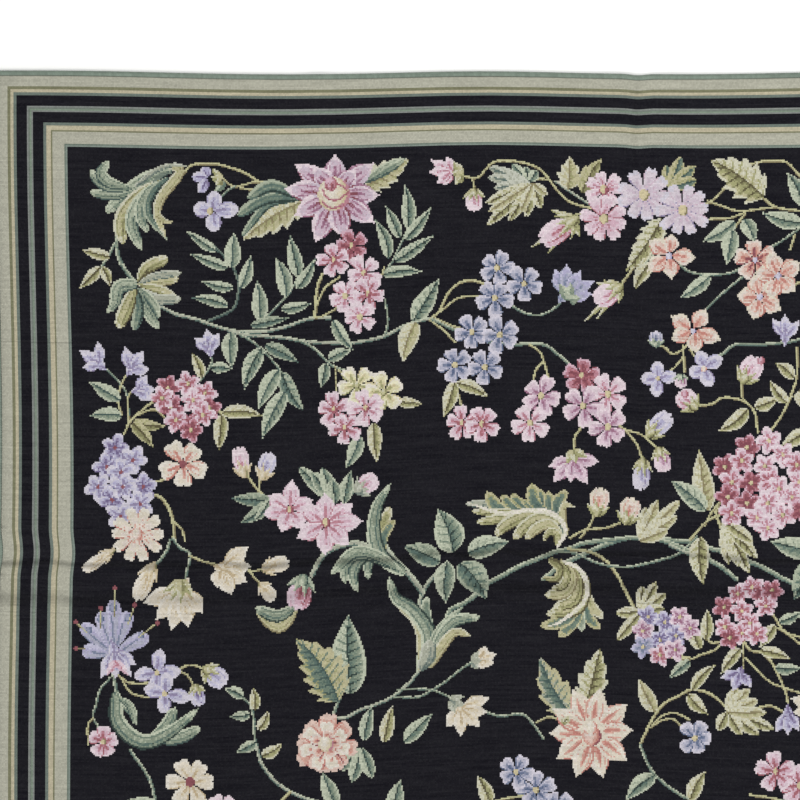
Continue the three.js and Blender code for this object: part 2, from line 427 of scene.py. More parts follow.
class Chart:
    """The working chart: one yarn number for each stitch, with row 0 at the rug's bottom edge. Each stitch
    knows its place in the photo's pixels, and way_x and way_y are -1 while a copy is worked that is mirrored
    across or along."""

    def __init__(self, columns, rows):
        self.columns, self.rows = columns, rows
        self.yarn = np.full((rows, columns), YARN_NUMBER["ground"], np.uint8)
        across = ((np.arange(columns) + 0.5) / columns - 0.5) * CLOTH_WIDTH
        along = ((np.arange(rows) + 0.5) / rows - 0.5) * CLOTH_LENGTH
        x, y = laid_place(*np.meshgrid(across, along))
        self.x = MIDDLE_X + x / METRES_PER_PIXEL
        self.y = MIDDLE_Y - y / METRES_PER_PIXEL
        self.pixels_per_column = CLOTH_WIDTH / columns / METRES_PER_PIXEL
        self.pixels_per_row = CLOTH_LENGTH / rows / METRES_PER_PIXEL
        self.grain = np.random.default_rng(SEED).random((rows, columns)) - 0.5
        self.chance = np.random.default_rng(SEED + 1)
        self.way_x = self.way_y = 1

    def window(self, points, margin):
        """The block of stitches round some points of a motif, and their places in the motif's own frame."""
        spots = np.array(points, float)
        low, high = spots.min(0) - margin, spots.max(0) + margin
        x = MIDDLE_X + self.way_x * ((low[0] + high[0]) / 2 - MIDDLE_X)
        y = MIDDLE_Y + self.way_y * ((low[1] + high[1]) / 2 - MIDDLE_Y)
        column = self.columns / 2 + (x - MIDDLE_X) / self.pixels_per_column
        row = self.rows / 2 - (y - MIDDLE_Y) / self.pixels_per_row
        near = (min(max(int(row), 0), self.rows - 1), min(max(int(column), 0), self.columns - 1))
        column = near[1] + (x - self.x[near]) / self.pixels_per_column
        row = near[0] - (y - self.y[near]) / self.pixels_per_row
        reach_x = (high[0] - low[0]) / 2 / self.pixels_per_column + 2
        reach_y = (high[1] - low[1]) / 2 / self.pixels_per_row + 2
        block = (slice(max(int(row - reach_y), 0), max(int(row + reach_y) + 1, 0)),
                 slice(max(int(column - reach_x), 0), max(int(column + reach_x) + 1, 0)))
        return (block, MIDDLE_X + self.way_x * (self.x[block] - MIDDLE_X),
                MIDDLE_Y + self.way_y * (self.y[block] - MIDDLE_Y))

    def work(self, block, inside, tone, family):
        """Works the stitches inside a shape: the tone, a little uneven, picks one of the family's yarns."""
        yarns = np.array([YARN_NUMBER[name] for name in FAMILIES[family]], np.uint8)
        pick = ((tone + GRAIN * self.grain[block]) * len(yarns)).clip(0, len(yarns) - 1).astype(int)
        self.yarn[block][inside] = yarns[pick[inside]]

    def lobe(self, base, tip, width, family, form, tones, bend=0.0, teeth=0, notch=0.0):
        """A leaf, petal or lobe from base to tip. Its middle line is a chord bowed by a parabola, bend times
        its length at most, and its half width follows its form, with teeth as a saw wave that steps towards
        the tip. A notch is cut into the tip, deepest at the middle line."""
        (bx, by), (tx, ty) = base, tip
        length = math.hypot(tx - bx, ty - by)
        ex, ey = (tx - bx) / length, (ty - by) / length
        block, x, y = self.window((base, tip), width / 2 + abs(bend) * length)
        s = ((x - bx) * ex + (y - by) * ey) / length
        off = (y - by) * ex - (x - bx) * ey - 4 * bend * length * s * (1 - s)
        share = s.clip(END_ROOM, 1 - END_ROOM)
        half = half_width(share, width, form)
        if teeth:
            half = half * (TOOTH_START + TOOTH_RISE * (share * teeth % 1))
        half = np.maximum(half, THINNEST)
        lit = lit_side(ex, ey)
        end = 1 - notch * (1 - np.abs(off) / (0.2 * width)).clip(0, 1)
        inside = (s > 0) & (s < end) & (np.abs(off) < half)
        self.work(block, inside, TONES[tones](share, off / half, off, length, lit), family)

    def blade(self, points, width, family, form, tones):
        """A lobe along a line through several points. Each stitch takes the nearest place on the line, and
        the half width follows the form as for a lobe."""
        line = smooth_line(points)
        steps = np.hypot(*np.diff(line, axis=0).T)
        block, x, y = self.window(line, width / 2)
        least, along, aside = np.full(x.shape, np.inf), np.zeros(x.shape), np.zeros(x.shape)
        for number, ((ax, ay), (bx, by), step) in enumerate(zip(line[:-1], line[1:], steps)):
            ex, ey = (bx - ax) / step, (by - ay) / step
            s = (x - ax) * ex + (y - ay) * ey
            off = (y - ay) * ex - (x - ax) * ey
            far = np.hypot(s - s.clip(0, step), off)
            nearer = far < least
            least[nearer] = far[nearer]
            along[nearer] = steps[:number].sum() + s.clip(0, step)[nearer]
            aside[nearer] = np.copysign(far, off)[nearer]
        length = steps.sum()
        share = (along / length).clip(END_ROOM, 1 - END_ROOM)
        half = np.maximum(half_width(share, width, form), THINNEST)
        lit = lit_side(*(line[-1] - line[0]))
        self.work(block, least < half, TONES[tones](share, aside / half, aside, length, lit), family)

    def bell(self, base, tips, width, family):
        """A bell flower: a flared body from its base towards the middle of the tips, and a pointed lobe to
        each tip from a place inside the body."""
        (bx, by), (mx, my) = base, np.mean(tips, axis=0)
        mouth = (bx + 0.86 * (mx - bx), by + 0.86 * (my - by))
        throat = (bx + 0.28 * (mx - bx), by + 0.28 * (my - by))
        self.lobe(base, mouth, 1.5 * width, family, "petal", "petal")
        for tip in tips:
            self.lobe(throat, tip, 1.1 * width, family, "ogee", "petal")

    def stem(self, points, width, family):
        """A line through the points, with its lit side light and its other side dark."""
        line = smooth_line(points)
        half = max(width / 2, THINNEST)
        for (ax, ay), (bx, by) in zip(line[:-1], line[1:]):
            length = max(math.hypot(bx - ax, by - ay), 1e-6)
            ex, ey = (bx - ax) / length, (by - ay) / length
            block, x, y = self.window(((ax, ay), (bx, by)), half)
            s = ((x - ax) * ex + (y - ay) * ey).clip(0, length)
            inside = np.hypot(x - ax - s * ex, y - ay - s * ey) < half
            off = (y - ay) * ex - (x - ax) * ey
            lit = lit_side(ex, ey)
            self.work(block, inside, 0.5 + 0.38 * (off * lit / half).clip(-1, 1), family)

    def disc(self, centre, radius, family, tones="ball"):
        """A round spot, worked as a lobe as wide as it is long."""
        x, y = centre
        self.lobe((x, y + radius), (x, y - radius), 2 * radius, family, "oval", tones)

    def petals(self, centre, tips, width, family, form, tones, hollow=0.06, notch=0.0):
        """Petals to each of the tips from a little way off the centre, the share hollow of the way."""
        cx, cy = centre
        for tx, ty in tips:
            base = (cx + hollow * (tx - cx), cy + hollow * (ty - cy))
            self.lobe(base, (tx, ty), width, family, form, tones, notch=notch)

    def flower(self, centre, radius, count, family, core, start, plump, form, tones="petal"):
        """An open flower: petals at even angles from start, each a little uneven, round a core of a share of
        its radius. Plump is the share of its room that a petal fills."""
        turn = start + WHOLE_TURN * np.arange(count) / count + self.chance.normal(0, PETALS_STRAY, count)
        reach = radius * (1 + self.chance.normal(0, PETALS_STRAY, count))
        tips = [(centre[0] + r * math.cos(a), centre[1] + r * math.sin(a)) for a, r in zip(turn, reach)]
        width = plump * PETALS_OVERLAP * radius * math.sin(math.pi / count)
        self.petals(centre, tips, width, family, form, tones, notch=PETAL_NOTCH if form == "petal" else 0)
        core_family, share = core
        self.disc(centre, max(share * radius, LEAST_CORE), core_family)

    def florets(self, spots, radius, core):
        """Many small flowers. Columns of spots: x, y, family."""
        for number, (x, y, family) in enumerate(spots):
            self.flower((x, y), radius, FLORET_PETALS, family, core, FLORET_TURN * number, 0.60, "pointed")

    def bud(self, base, tip, width, family, calyx):
        """A bud that begins to open: two outer petals, a middle one over them, four sepals that stand off at
        uneven angles, and a round calyx over their bases."""
        (bx, by), (tx, ty) = base, tip
        length = math.hypot(tx - bx, ty - by)
        ex, ey = (tx - bx) / length, (ty - by) / length

        def spot(along, aside):
            """A place along and aside of the bud, as shares of its length and width."""
            forward, right = along * length, aside * width
            return (bx + forward * ex - right * ey, by + forward * ey + right * ex)

        for aside in (-0.24, 0.24):
            base, tip = spot(0.05, 0.3 * aside), spot(0.97, aside)
            self.lobe(base, tip, 0.66 * width, family, "pointed", "streaked")
        self.lobe(spot(0.02, 0), spot(1.03, 0), 0.62 * width, family, "pointed", "petal")
        for aside, reach in ((-0.56, 0.36), (0.56, 0.36), (-0.20, 0.56), (0.26, 0.48)):
            self.lobe(spot(-0.08, 0), spot(reach, aside), 0.28 * width, calyx, "leaf", "small leaf")
        self.lobe(spot(-0.12, 0), spot(0.26, 0), 0.44 * width, calyx, "oval", "ball")


# The design's stems, leaves and flowers, each worked by the chart's own shapes. Places, widths and radii are
# in the photo's pixels, read at each motif's base and tip.

# Columns: width, family, then for each stem the x and y of the points that it runs through.
STEMS = (
    (4.0, "stem cool", (117, 235, 117, 250, 122, 265, 133, 280)),
    (2.6, "stem cool", (115, 243, 109, 255, 102, 266)),
    (2.6, "stem yellow", (183, 175, 190, 166, 200, 164, 215, 164, 228, 167, 245, 173, 258, 181, 270, 184,
        288, 189)),
    (2.2, "stem yellow", (222, 178, 232, 186, 240, 186, 255, 182, 270, 183), (240, 188, 255, 190,
        270, 187, 292, 191)),
    (2.2, "stem cool", (220, 198, 228, 190, 236, 186)),
    (2.8, "stem teal", (208, 321, 232, 310, 238, 295, 238, 280, 232, 266, 220, 252, 205, 240)),
    (3.4, "stem grey", (160, 306, 175, 314, 195, 319, 215, 326, 235, 331, 260, 332, 285, 327, 305, 320,
        318, 318, 330, 318), (230, 331, 245, 335, 262, 336, 285, 338, 310, 342, 345, 343, 365, 341,
        385, 336, 400, 328, 415, 322, 432, 318)),
    (2.2, "stem cool", (240, 335, 250, 340, 262, 349, 272, 360, 281, 372, 285, 390, 286, 405), (381, 276,
        392, 262, 401, 243, 408, 228, 412, 215)),
    (2.4, "stem cool", (262, 321, 285, 298, 292, 288, 300, 275)),
    (3.2, "stem yellow", (322, 275, 317, 290, 315, 317)),
    (2.2, "stem yellow", (340, 277, 325, 288, 317, 305), (345, 303, 325, 315, 315, 318), (372, 285,
        381, 276, 384, 268)),
    (2.2, "stem cool", (385, 300, 388, 320, 385, 336)),
    (2.4, "stem yellow", (461, 175, 472, 178, 480, 176, 492, 163, 505, 161, 520, 162, 538, 168, 548, 178,
        557, 190, 570, 202, 590, 208)),
    (2.2, "stem yellow", (472, 178, 474, 185, 474, 193), (530, 181, 540, 179, 550, 180)),
    (2.4, "stem grey", (555, 181, 575, 195, 592, 206)),
    (2.4, "stem yellow", (590, 212, 575, 215, 565, 220)),
    (2.6, "stem yellow", (762, 197, 775, 207, 800, 211)),
    (2.2, "stem yellow", (707, 201, 722, 206, 738, 211, 760, 209, 775, 207), (710, 219, 730, 218,
        745, 213, 738, 223, 733, 230)),
    (2.4, "stem cool", (680, 265, 690, 272, 710, 275, 730, 273, 742, 268), (745, 275, 730, 287, 715, 300,
        707, 308)),
    (2.2, "stem cool", (765, 250, 780, 242, 800, 228)),
    (2.2, "stem yellow", (790, 250, 795, 235)),
    (2.4, "stem yellow", (797, 348, 797, 375, 793, 390, 787, 405, 780, 418, 770, 432)),
    (2.6, "stem yellow", (432, 318, 440, 310, 447, 295, 455, 286, 465, 281, 475, 281, 487, 285)),
    (2.2, "stem yellow", (440, 312, 452, 302, 462, 297, 478, 296), (435, 318, 450, 325, 460, 328),
        (430, 320, 443, 330, 455, 342)),
    (2.2, "stem cool", (512, 306, 525, 313, 540, 315, 552, 310, 560, 303)),
    (2.6, "stem yellow", (634, 250, 634, 265, 628, 275, 620, 286)),
    (3.0, "stem cool", (432, 319, 455, 330, 482, 340, 510, 344, 530, 344, 545, 345, 555, 352, 568, 363)),
    (2.2, "stem yellow", (530, 345, 540, 352, 545, 365, 549, 380), (543, 362, 536, 370, 533, 382)),
    (2.2, "stem cool", (106, 369, 115, 377, 121, 385, 127, 395, 129, 422)),
    (2.2, "stem yellow", (127, 375, 122, 383, 118, 400, 122, 415), (132, 391, 128, 398, 128, 410,
        129, 422)),
    (2.4, "stem yellow", (124, 434, 130, 422, 140, 412, 150, 404, 162, 397)),
    (2.2, "stem yellow", (138, 415, 150, 410, 158, 411, 167, 420)),
    (2.4, "stem yellow", (206, 403, 215, 408, 222, 414)),
    (2.2, "stem cool", (201, 380, 208, 370, 212, 362, 211, 357)),
    (2.2, "stem yellow", (168, 478, 160, 481, 152, 482)),
    (3.4, "stem yellow", (150, 494, 160, 497, 168, 507, 173, 520, 174, 540)),
    (2.2, "stem yellow", (174, 522, 182, 530, 185, 540)),
    (2.4, "stem yellow", (246, 474, 256, 488, 266, 498, 275, 506)),
    (2.2, "stem yellow", (260, 478, 260, 492, 268, 500)),
    (2.4, "stem cool", (298, 340, 312, 347, 322, 356, 328, 362, 335, 367, 352, 373)),
    (2.0, "stem yellow", (335, 367, 336, 390), (338, 370, 348, 378)),
    (2.4, "stem yellow", (456, 388, 460, 400, 463, 410), (582, 427, 575, 437, 574, 452), (610, 420,
        625, 430, 637, 445, 642, 458)),
    (2.0, "stem yellow", (625, 430, 640, 434, 650, 442, 657, 448)),
    (2.4, "stem yellow", (595, 512, 590, 525, 580, 538), (620, 523, 605, 528, 585, 530, 570, 538),
        (656, 346, 664, 347, 672, 354, 682, 350, 690, 342, 693, 338)),
    (2.2, "stem yellow", (683, 345, 684, 360, 685, 372)),
    (2.0, "stem yellow", (683, 357, 676, 366, 668, 373), (690, 350, 697, 360)),
    (2.6, "stem yellow", (698, 406, 712, 404, 722, 398, 737, 399, 748, 404, 755, 413, 758, 432)),
    (2.2, "stem yellow", (742, 381, 742, 395, 745, 402)),
    (3.0, "stem yellow", (724, 545, 722, 530, 716, 512, 724, 498, 734, 490)),
    (2.4, "stem yellow", (705, 525, 712, 512, 722, 500)),
    (2.6, "stem yellow", (690, 540, 706, 522, 720, 515)),
    (4.2, "stem grey", (447, 563, 433, 577, 424, 590, 420, 603, 420, 640, 418, 672)),
    (4.6, "stem cool", (447, 620, 450, 610, 462, 604, 473, 597, 485, 585, 500, 577, 520, 566, 540, 558,
        555, 552, 568, 549, 585, 543, 610, 540, 630, 538, 652, 538, 675, 545, 700, 556, 720, 566,
        736, 579)),
    (2.6, "stem cool", (340, 508, 348, 497, 356, 490)),
    (5.0, "stem grey", (312, 575, 320, 560, 330, 550, 345, 545, 358, 543, 372, 548)),
    (6.0, "stem grey", (382, 536, 387, 550, 400, 565, 412, 578, 422, 592)),
    (3.2, "stem grey", (330, 717, 345, 718, 360, 710, 380, 703, 395, 695, 410, 682, 418, 672)),
    (3.2, "stem cool", (330, 725, 337, 705, 340, 697)),
    (2.2, "stem cool", (398, 690, 415, 689, 432, 690, 447, 696, 456, 702), (395, 697, 418, 697, 432, 690,
        445, 682, 460, 670, 475, 660)),
    (2.8, "stem cool", (170, 540, 167, 550, 160, 560, 150, 568)),
    (2.6, "stem cool", (173, 538, 180, 548, 189, 552, 190, 560, 187, 570, 185, 582)),
    (2.4, "stem yellow", (190, 556, 205, 562, 219, 565)),
    (2.2, "stem yellow", (245, 569, 255, 571, 266, 567), (248, 570, 254, 577, 263, 586)),
    (2.4, "stem yellow", (178, 670, 190, 665, 205, 669)),
    (2.2, "stem yellow", (181, 672, 188, 676, 195, 688)),
    (2.4, "stem yellow", (118, 675, 130, 683, 155, 683)),
    (2.2, "stem yellow", (122, 678, 130, 692, 145, 697, 160, 697)),
    (2.4, "stem cool", (240, 695, 250, 705, 254, 720, 255, 740, 262, 765)),
    (3.6, "stem cool", (112, 660, 116, 690, 122, 705, 135, 718)),
    (2.2, "stem cool", (110, 678, 100, 690, 96, 705, 93, 717, 100, 730, 103, 745)),
    (2.2, "stem yellow", (93, 718, 88, 725, 88, 745)),
    (3.0, "stem yellow", (568, 549, 590, 552, 605, 560, 617, 575, 625, 590, 636, 612)),
    (2.6, "stem cool", (560, 552, 575, 553, 590, 560, 605, 565, 625, 567, 640, 565, 660, 560, 680, 553,
        697, 536)),
    (3.6, "stem grey", (670, 545, 680, 550, 695, 556)),
    (2.4, "stem yellow", (706, 638, 713, 643, 724, 641), (736, 648, 723, 643, 715, 650, 700, 655,
        690, 659, 668, 657)),
    (2.2, "stem yellow", (668, 648, 678, 655, 690, 658)),
    (2.4, "stem yellow", (769, 608, 775, 618, 785, 632, 800, 637)),
    (2.2, "stem yellow", (778, 628, 790, 636, 800, 644)),
    (2.6, "stem yellow", (743, 640, 750, 650, 762, 653, 772, 663, 778, 675, 785, 690, 788, 703)),
    (2.2, "stem yellow", (743, 640, 743, 668), (745, 658, 755, 668, 770, 682, 785, 688, 800, 693)),
    (2.8, "stem yellow", (640, 745, 645, 734, 655, 715, 665, 703, 680, 695, 690, 690, 702, 691, 715, 697,
        730, 711)),
    (2.0, "stem yellow", (652, 725, 662, 716, 675, 713, 690, 720), (650, 728, 663, 720, 675, 720,
        685, 732)),
    (2.4, "stem yellow", (757, 708, 770, 706, 782, 711)),
    (2.6, "stem cool", (486, 712, 500, 716, 520, 714, 530, 720, 543, 738)),
    (2.2, "stem yellow", (537, 722, 550, 717, 562, 722)),
)

# Columns: family, teeth, then for each leaf base x, base y, tip x, tip y, width.
LEAVES = (
    ("gold", 0, (110, 257, 82, 250, 12), (101, 267, 80, 288, 13), (102, 267, 110, 286, 12)),
    ("cool", 0, (225, 182, 214, 192, 8), (216, 251, 187, 231, 11), (228, 268, 191, 254, 12),
        (233, 288, 202, 281, 11), (228, 306, 192, 298, 13)),
    ("pale", 0, (232, 268, 234, 233, 18), (241, 288, 251, 256, 14), (260, 320, 257, 281, 17)),
    ("teal", 0, (250, 326, 289, 318, 11)),
    ("pale", 0, (231, 332, 232, 368, 17)),
    ("yellow", 5, (302, 202, 243, 240, 36), (366, 187, 409, 159, 29)),
    ("cool", 0, (408, 228, 405, 185, 15), (400, 238, 386, 206, 13), (389, 258, 375, 220, 14),
        (405, 240, 431, 208, 13), (395, 262, 433, 236, 14), (383, 275, 422, 272, 13)),
    ("pale", 0, (286, 296, 276, 258, 17)),
    ("cool", 0, (299, 277, 290, 236, 16), (297, 289, 315, 259, 13), (281, 309, 311, 303, 12)),
    ("pale", 0, (333, 320, 353, 350, 14)),
    ("cool", 0, (413, 321, 439, 279, 21)),
    ("yellow", 0, (416, 322, 403, 362, 21)),
    ("gold", 5, (764, 197, 711, 160, 42)),
    ("yellow", 4, (568, 189, 570, 157, 26)),
    ("dark gold", 3, (582, 193, 601, 159, 22)),
    ("pale", 0, (735, 222, 703, 241, 17), (733, 230, 727, 264, 18), (744, 219, 755, 242, 17)),
    ("cool", 0, (802, 223, 763, 213, 18), (803, 205, 787, 173, 18)),
    ("gold", 0, (652, 262, 635, 289, 16)),
    ("yellow", 0, (660, 235, 631, 271, 10)),
    ("pale", 0, (710, 276, 680, 298, 15), (120, 400, 90, 382, 16), (122, 416, 90, 416, 15)),
    ("dark gold", 0, (133, 421, 165, 426, 13), (132, 423, 153, 447, 14)),
    ("gold", 0, (222, 413, 262, 416, 15), (222, 415, 219, 450, 16), (202, 378, 192, 353, 12)),
    ("cool", 0, (211, 368, 232, 369, 12), (262, 348, 244, 389, 18)),
    ("teal", 0, (270, 500, 231, 498, 15), (270, 501, 240, 523, 14)),
    ("cool", 0, (268, 502, 254, 521, 11)),
    ("teal", 0, (265, 345, 298, 362, 15), (282, 372, 304, 411, 17)),
    ("pale", 0, (279, 370, 259, 409, 18), (285, 392, 262, 438, 19)),
    ("cool", 0, (328, 360, 351, 350, 13), (326, 363, 321, 388, 13)),
    ("gold", 0, (398, 402, 422, 404, 12), (374, 423, 377, 462, 16)),
    ("pale", 0, (360, 436, 346, 468, 16)),
    ("gold", 0, (456, 383, 488, 397, 14), (455, 382, 444, 417, 16), (748, 409, 719, 431, 17),
        (755, 407, 778, 398, 15), (794, 378, 775, 363, 14), (787, 403, 770, 381, 13),
        (800, 390, 806, 410, 14), (806, 430, 780, 448, 16)),
    ("yellow", 0, (708, 511, 699, 450, 23)),
    ("pale", 0, (706, 510, 671, 481, 21)),
    ("cool", 0, (344, 503, 351, 470, 15)),
    ("teal", 0, (440, 562, 404, 546, 23)),
    ("cool", 0, (447, 562, 446, 603, 22), (468, 553, 509, 542, 23)),
    ("teal", 0, (460, 563, 486, 599, 30)),
    ("cool", 0, (453, 552, 438, 509, 32), (243, 697, 225, 689, 12)),
    ("gold", 0, (255, 710, 253, 688, 12)),
    ("cool", 0, (250, 715, 230, 717, 11)),
    ("gold", 0, (258, 730, 268, 711, 12)),
    ("cool", 0, (256, 742, 236, 752, 12)),
    ("gold", 0, (262, 756, 282, 744, 13), (700, 537, 703, 584, 22), (700, 649, 693, 625, 14),
        (706, 640, 707, 609, 14)),
    ("cool", 0, (690, 661, 669, 678, 12)),
    ("gold", 0, (741, 648, 721, 674, 13), (775, 625, 760, 647, 13)),
    ("cool", 0, (779, 622, 801, 612, 12)),
    ("gold", 0, (760, 650, 790, 658, 13)),
    ("cool", 0, (775, 668, 801, 668, 13)),
    ("yellow", 0, (655, 712, 639, 679, 17)),
    ("gold", 0, (692, 690, 715, 665, 13), (688, 694, 708, 714, 15)),
    ("cool", 0, (350, 694, 348, 615, 38)),
    ("mixed", 6, (338, 701, 296, 639, 48)),
    ("pale", 0, (664, 222, 646, 263, 13)),
    ("gold", 6, (662, 219, 626, 271, 27)),
    ("gold", 4, (586, 704, 600, 648, 32)),
    ("silver leaf", 4, (572, 716, 540, 657, 34)),
    ("cool", 0, (364, 740, 372, 706, 15)),
    ("gold", 0, (384, 742, 392, 706, 15)),
    ("cool", 0, (404, 742, 432, 714, 16)),
)

# The form and tones of each kind of lobe in a scrolling leaf.
SCROLL_KINDS = {
    "rolled": ("scroll", "rolled"),
    "banded": ("scroll", "banded"),
    "hollow": ("scroll", "hollow"),
    "rolled band": ("band", "rolled"),
    "banded band": ("band", "banded"),
    "spine": ("band", "plain"),
    "vein": ("leaf", "plain"),
}

# Lobes of the scrolling leaves. Columns: x and y of points from base to tip, width, family, kind.
SCROLLS = (
    ((300, 200, 268, 205, 242, 236), 9, "teal", "banded"),
    ((299, 199, 266, 199, 238, 215), 14, "teal", "banded"),
    ((299, 198, 272, 186, 248, 198), 14, "teal", "banded"),
    ((364, 183, 384, 170, 404, 159), 12, "pale", "banded"),
    ((175, 168, 150, 177, 130, 191, 106, 212), 17, "pale", "rolled"),
    ((140, 187, 115, 195, 90, 192), 12, "pale", "rolled"),
    ((133, 188, 112, 187, 98, 180, 91, 170), 13, "pale", "rolled"),
    ((128, 187, 110, 183, 101, 173, 108, 162), 13, "pale", "rolled"),
    ((158, 181, 134, 200, 121, 222, 123, 244), 17, "gold", "rolled"),
    ((160, 182, 142, 197, 131, 222, 141, 249), 14, "pale", "rolled"),
    ((165, 180, 148, 192, 140, 212, 147, 232), 13, "cool", "rolled"),
    ((168, 178, 152, 193, 148, 214, 167, 239), 9, "teal", "banded band"),
    ((168, 165, 180, 172, 162, 196, 157, 214, 165, 236), 11, "yellow", "rolled band"),
    ((157, 212, 164, 221, 173, 222), 6, "yellow", "rolled band"),
    ((136, 186, 155, 171, 172, 165, 186, 166), 6, "silver", "banded band"),
    ((153, 182, 163, 174, 171, 173), 5, "stem teal", "vein"),

    ((138, 281, 147, 268, 168, 258), 14, "gold", "banded"),
    ((138, 284, 156, 281, 178, 279), 13, "yellow", "rolled"),
    ((139, 283, 156, 276, 181, 273), 9, "silver", "rolled"),
    ((140, 286, 157, 291, 176, 298), 14, "gold", "banded"),
    ((140, 288, 156, 299, 181, 299), 12, "silver", "rolled"),
    ((139, 288, 151, 303, 159, 318), 13, "cool", "banded"),
    ((138, 288, 144, 306, 158, 328), 12, "pale", "rolled"),
    ((136, 288, 139, 309, 134, 330), 12, "teal", "banded"),
    ((135, 286, 127, 307, 118, 328), 16, "gold", "rolled"),
    ((137, 284, 119, 287, 115, 303, 107, 312), 15, "pale", "rolled band"),

    ((505, 514, 488, 504, 466, 504), 8, "silver", "rolled"),
    ((516, 513, 497, 507, 487, 492), 14, "mixed", "hollow"),
    ((530, 511, 511, 505, 502, 495), 12, "mixed", "hollow"),
    ((534, 510, 518, 502, 512, 494), 11, "mixed", "hollow"),
    ((543, 510, 530, 505, 522, 500), 9, "mixed", "hollow"),
    ((546, 509, 542, 499, 538, 489), 11, "mixed", "hollow"),
    ((544, 510, 534, 501, 532, 484), 14, "mixed", "hollow"),
    ((553, 512, 549, 503, 549, 492), 12, "mixed", "hollow"),
    ((557, 517, 557, 503, 567, 491), 12, "mixed", "hollow"),
    ((566, 536, 562, 516, 565, 505, 574, 507), 9, "yellow", "rolled band"),
    ((564, 540, 559, 518, 545, 510, 524, 511, 500, 514, 486, 508), 5, "stem teal", "spine"),
    ((530, 513, 500, 513, 473, 511), 10, "gold", "rolled"),
    ((540, 512, 508, 518, 477, 522), 12, "gold", "rolled"),
    ((556, 517, 532, 514, 509, 523, 495, 535), 15, "gold", "rolled"),
    ((561, 524, 540, 518, 524, 528, 514, 539), 14, "gold", "rolled"),
    ((562, 534, 550, 524, 537, 528, 526, 539), 12, "yellow", "rolled"),
    ((558, 546, 557, 534, 549, 532, 543, 541), 9, "gold", "rolled band"),
    ((557, 547, 565, 533, 560, 519, 545, 511, 522, 511, 500, 513, 468, 503), 5, "stem pale", "spine"),

    ((586, 585, 590, 604, 603, 618), 11, "yellow", "hollow"),
    ((583, 600, 588, 617, 600, 629), 11, "mixed", "hollow"),
    ((581, 603, 581, 617, 582, 631), 10, "pale", "hollow"),
    ((582, 602, 575, 620, 559, 637), 13, "mixed", "hollow"),
    ((581, 602, 566, 620, 541, 626), 13, "mixed", "hollow"),
    ((569, 562, 583, 582, 577, 607, 547, 614), 17, "gold", "rolled"),
    ((566, 561, 577, 580, 573, 600, 554, 607), 15, "gold", "rolled"),
    ((561, 560, 572, 577, 564, 592, 545, 595), 14, "yellow", "rolled"),
    ((557, 560, 567, 574, 562, 586, 552, 588), 10, "gold", "rolled"),
    ((549, 559, 560, 568, 556, 579, 543, 578), 9, "dark gold", "banded band"),
    ((562, 561, 578, 568, 587, 584, 583, 603, 560, 622, 548, 626), 5, "stem pale", "spine"),

    ((150, 738, 166, 726, 175, 708), 14, "cool", "rolled"),
    ((150, 740, 178, 738, 200, 728), 14, "pale", "rolled"),
    ((116, 692, 118, 722, 142, 742, 170, 732, 198, 709), 17, "cool", "rolled band"),
    ((118, 697, 130, 706, 136, 724), 9, "pale", "rolled"),

    ((298, 608, 279, 627, 257, 611), 13, "yellow", "rolled"),
    ((298, 605, 277, 616, 256, 608), 14, "cool", "rolled"),

    ((382, 548, 383, 527, 390, 507), 12, "gold", "hollow"),
    ((384, 552, 384, 536, 394, 520), 10, "mixed", "hollow"),
    ((405, 573, 383, 558, 374, 535, 377, 507, 390, 484), 16, "cool", "rolled band"),
    ((398, 570, 372, 557, 368, 567, 368, 579), 11, "cool", "rolled"),
    ((392, 567, 366, 556, 353, 572, 357, 591), 13, "cool", "rolled"),
    ((385, 560, 358, 555, 345, 566, 345, 583), 12, "pale", "rolled"),
    ((403, 572, 378, 556, 355, 552, 332, 573), 13, "pale", "rolled"),

    ((432, 625, 426, 612, 427, 597), 10, "cool", "hollow"),
    ((419, 669, 421, 640, 415, 620, 398, 606), 10, "yellow", "rolled"),
    ((423, 668, 429, 636, 413, 610, 396, 598, 389, 578), 17, "cool", "rolled band"),
    ((424, 666, 434, 640, 445, 622, 463, 607), 9, "cool", "banded band"),
    ((426, 666, 440, 638, 455, 621, 480, 617), 13, "cool", "rolled"),
    ((428, 667, 442, 646, 455, 632, 471, 636), 12, "yellow", "rolled band"),
    ((420, 671, 428, 655, 430, 640), 17, "silver", "banded"),
)

# Bell flowers. Columns: base, width of a lobe, family, x and y of its tips.
BELLS = (
    ((457, 171), 10, "pink pale", (447, 157, 444, 185, 431, 160, 429, 172, 437, 183)),
    ((559, 303), 14, "lily blue", (555, 269, 567, 264, 592, 294, 594, 281, 581, 271)),
    ((111, 640), 12, "lilac soft", (101, 678, 136, 665, 131, 677, 116, 679)),
    ((455, 702), 13, "cream", (489, 698, 447, 727, 487, 713, 461, 736, 480, 727)),
    ((476, 660), 10, "cream", (486, 646, 484, 669, 496, 654, 494, 664)),
    ((188, 578), 18, "cream", (143, 603, 156, 620, 171, 630, 188, 627, 203, 613)),
    ((214, 566), 17, "cream", (248, 547, 251, 566, 247, 582, 232, 595, 217, 587)),
    ((106, 370), 11, "lilac soft", (80, 350, 98, 342, 83, 367)),
    ((127, 376), 12, "lilac soft", (125, 347, 143, 351, 149, 369)),
    ((131, 392), 11, "lilac soft", (147, 375, 155, 389, 151, 400)),
    ((211, 358), 11, "lilac soft", (195, 338, 207, 329, 219, 333)),
    ((785, 346), 10, "lilac soft", (773, 319, 785, 314, 799, 321)),
    ((574, 454), 13, "mauve", (549, 466, 553, 482, 570, 482, 587, 484, 599, 461)),
    ((742, 666), 10, "lilac", (721, 678, 733, 691, 751, 687)),
    ((788, 704), 11, "lilac", (776, 732, 788, 735, 799, 730)),
)

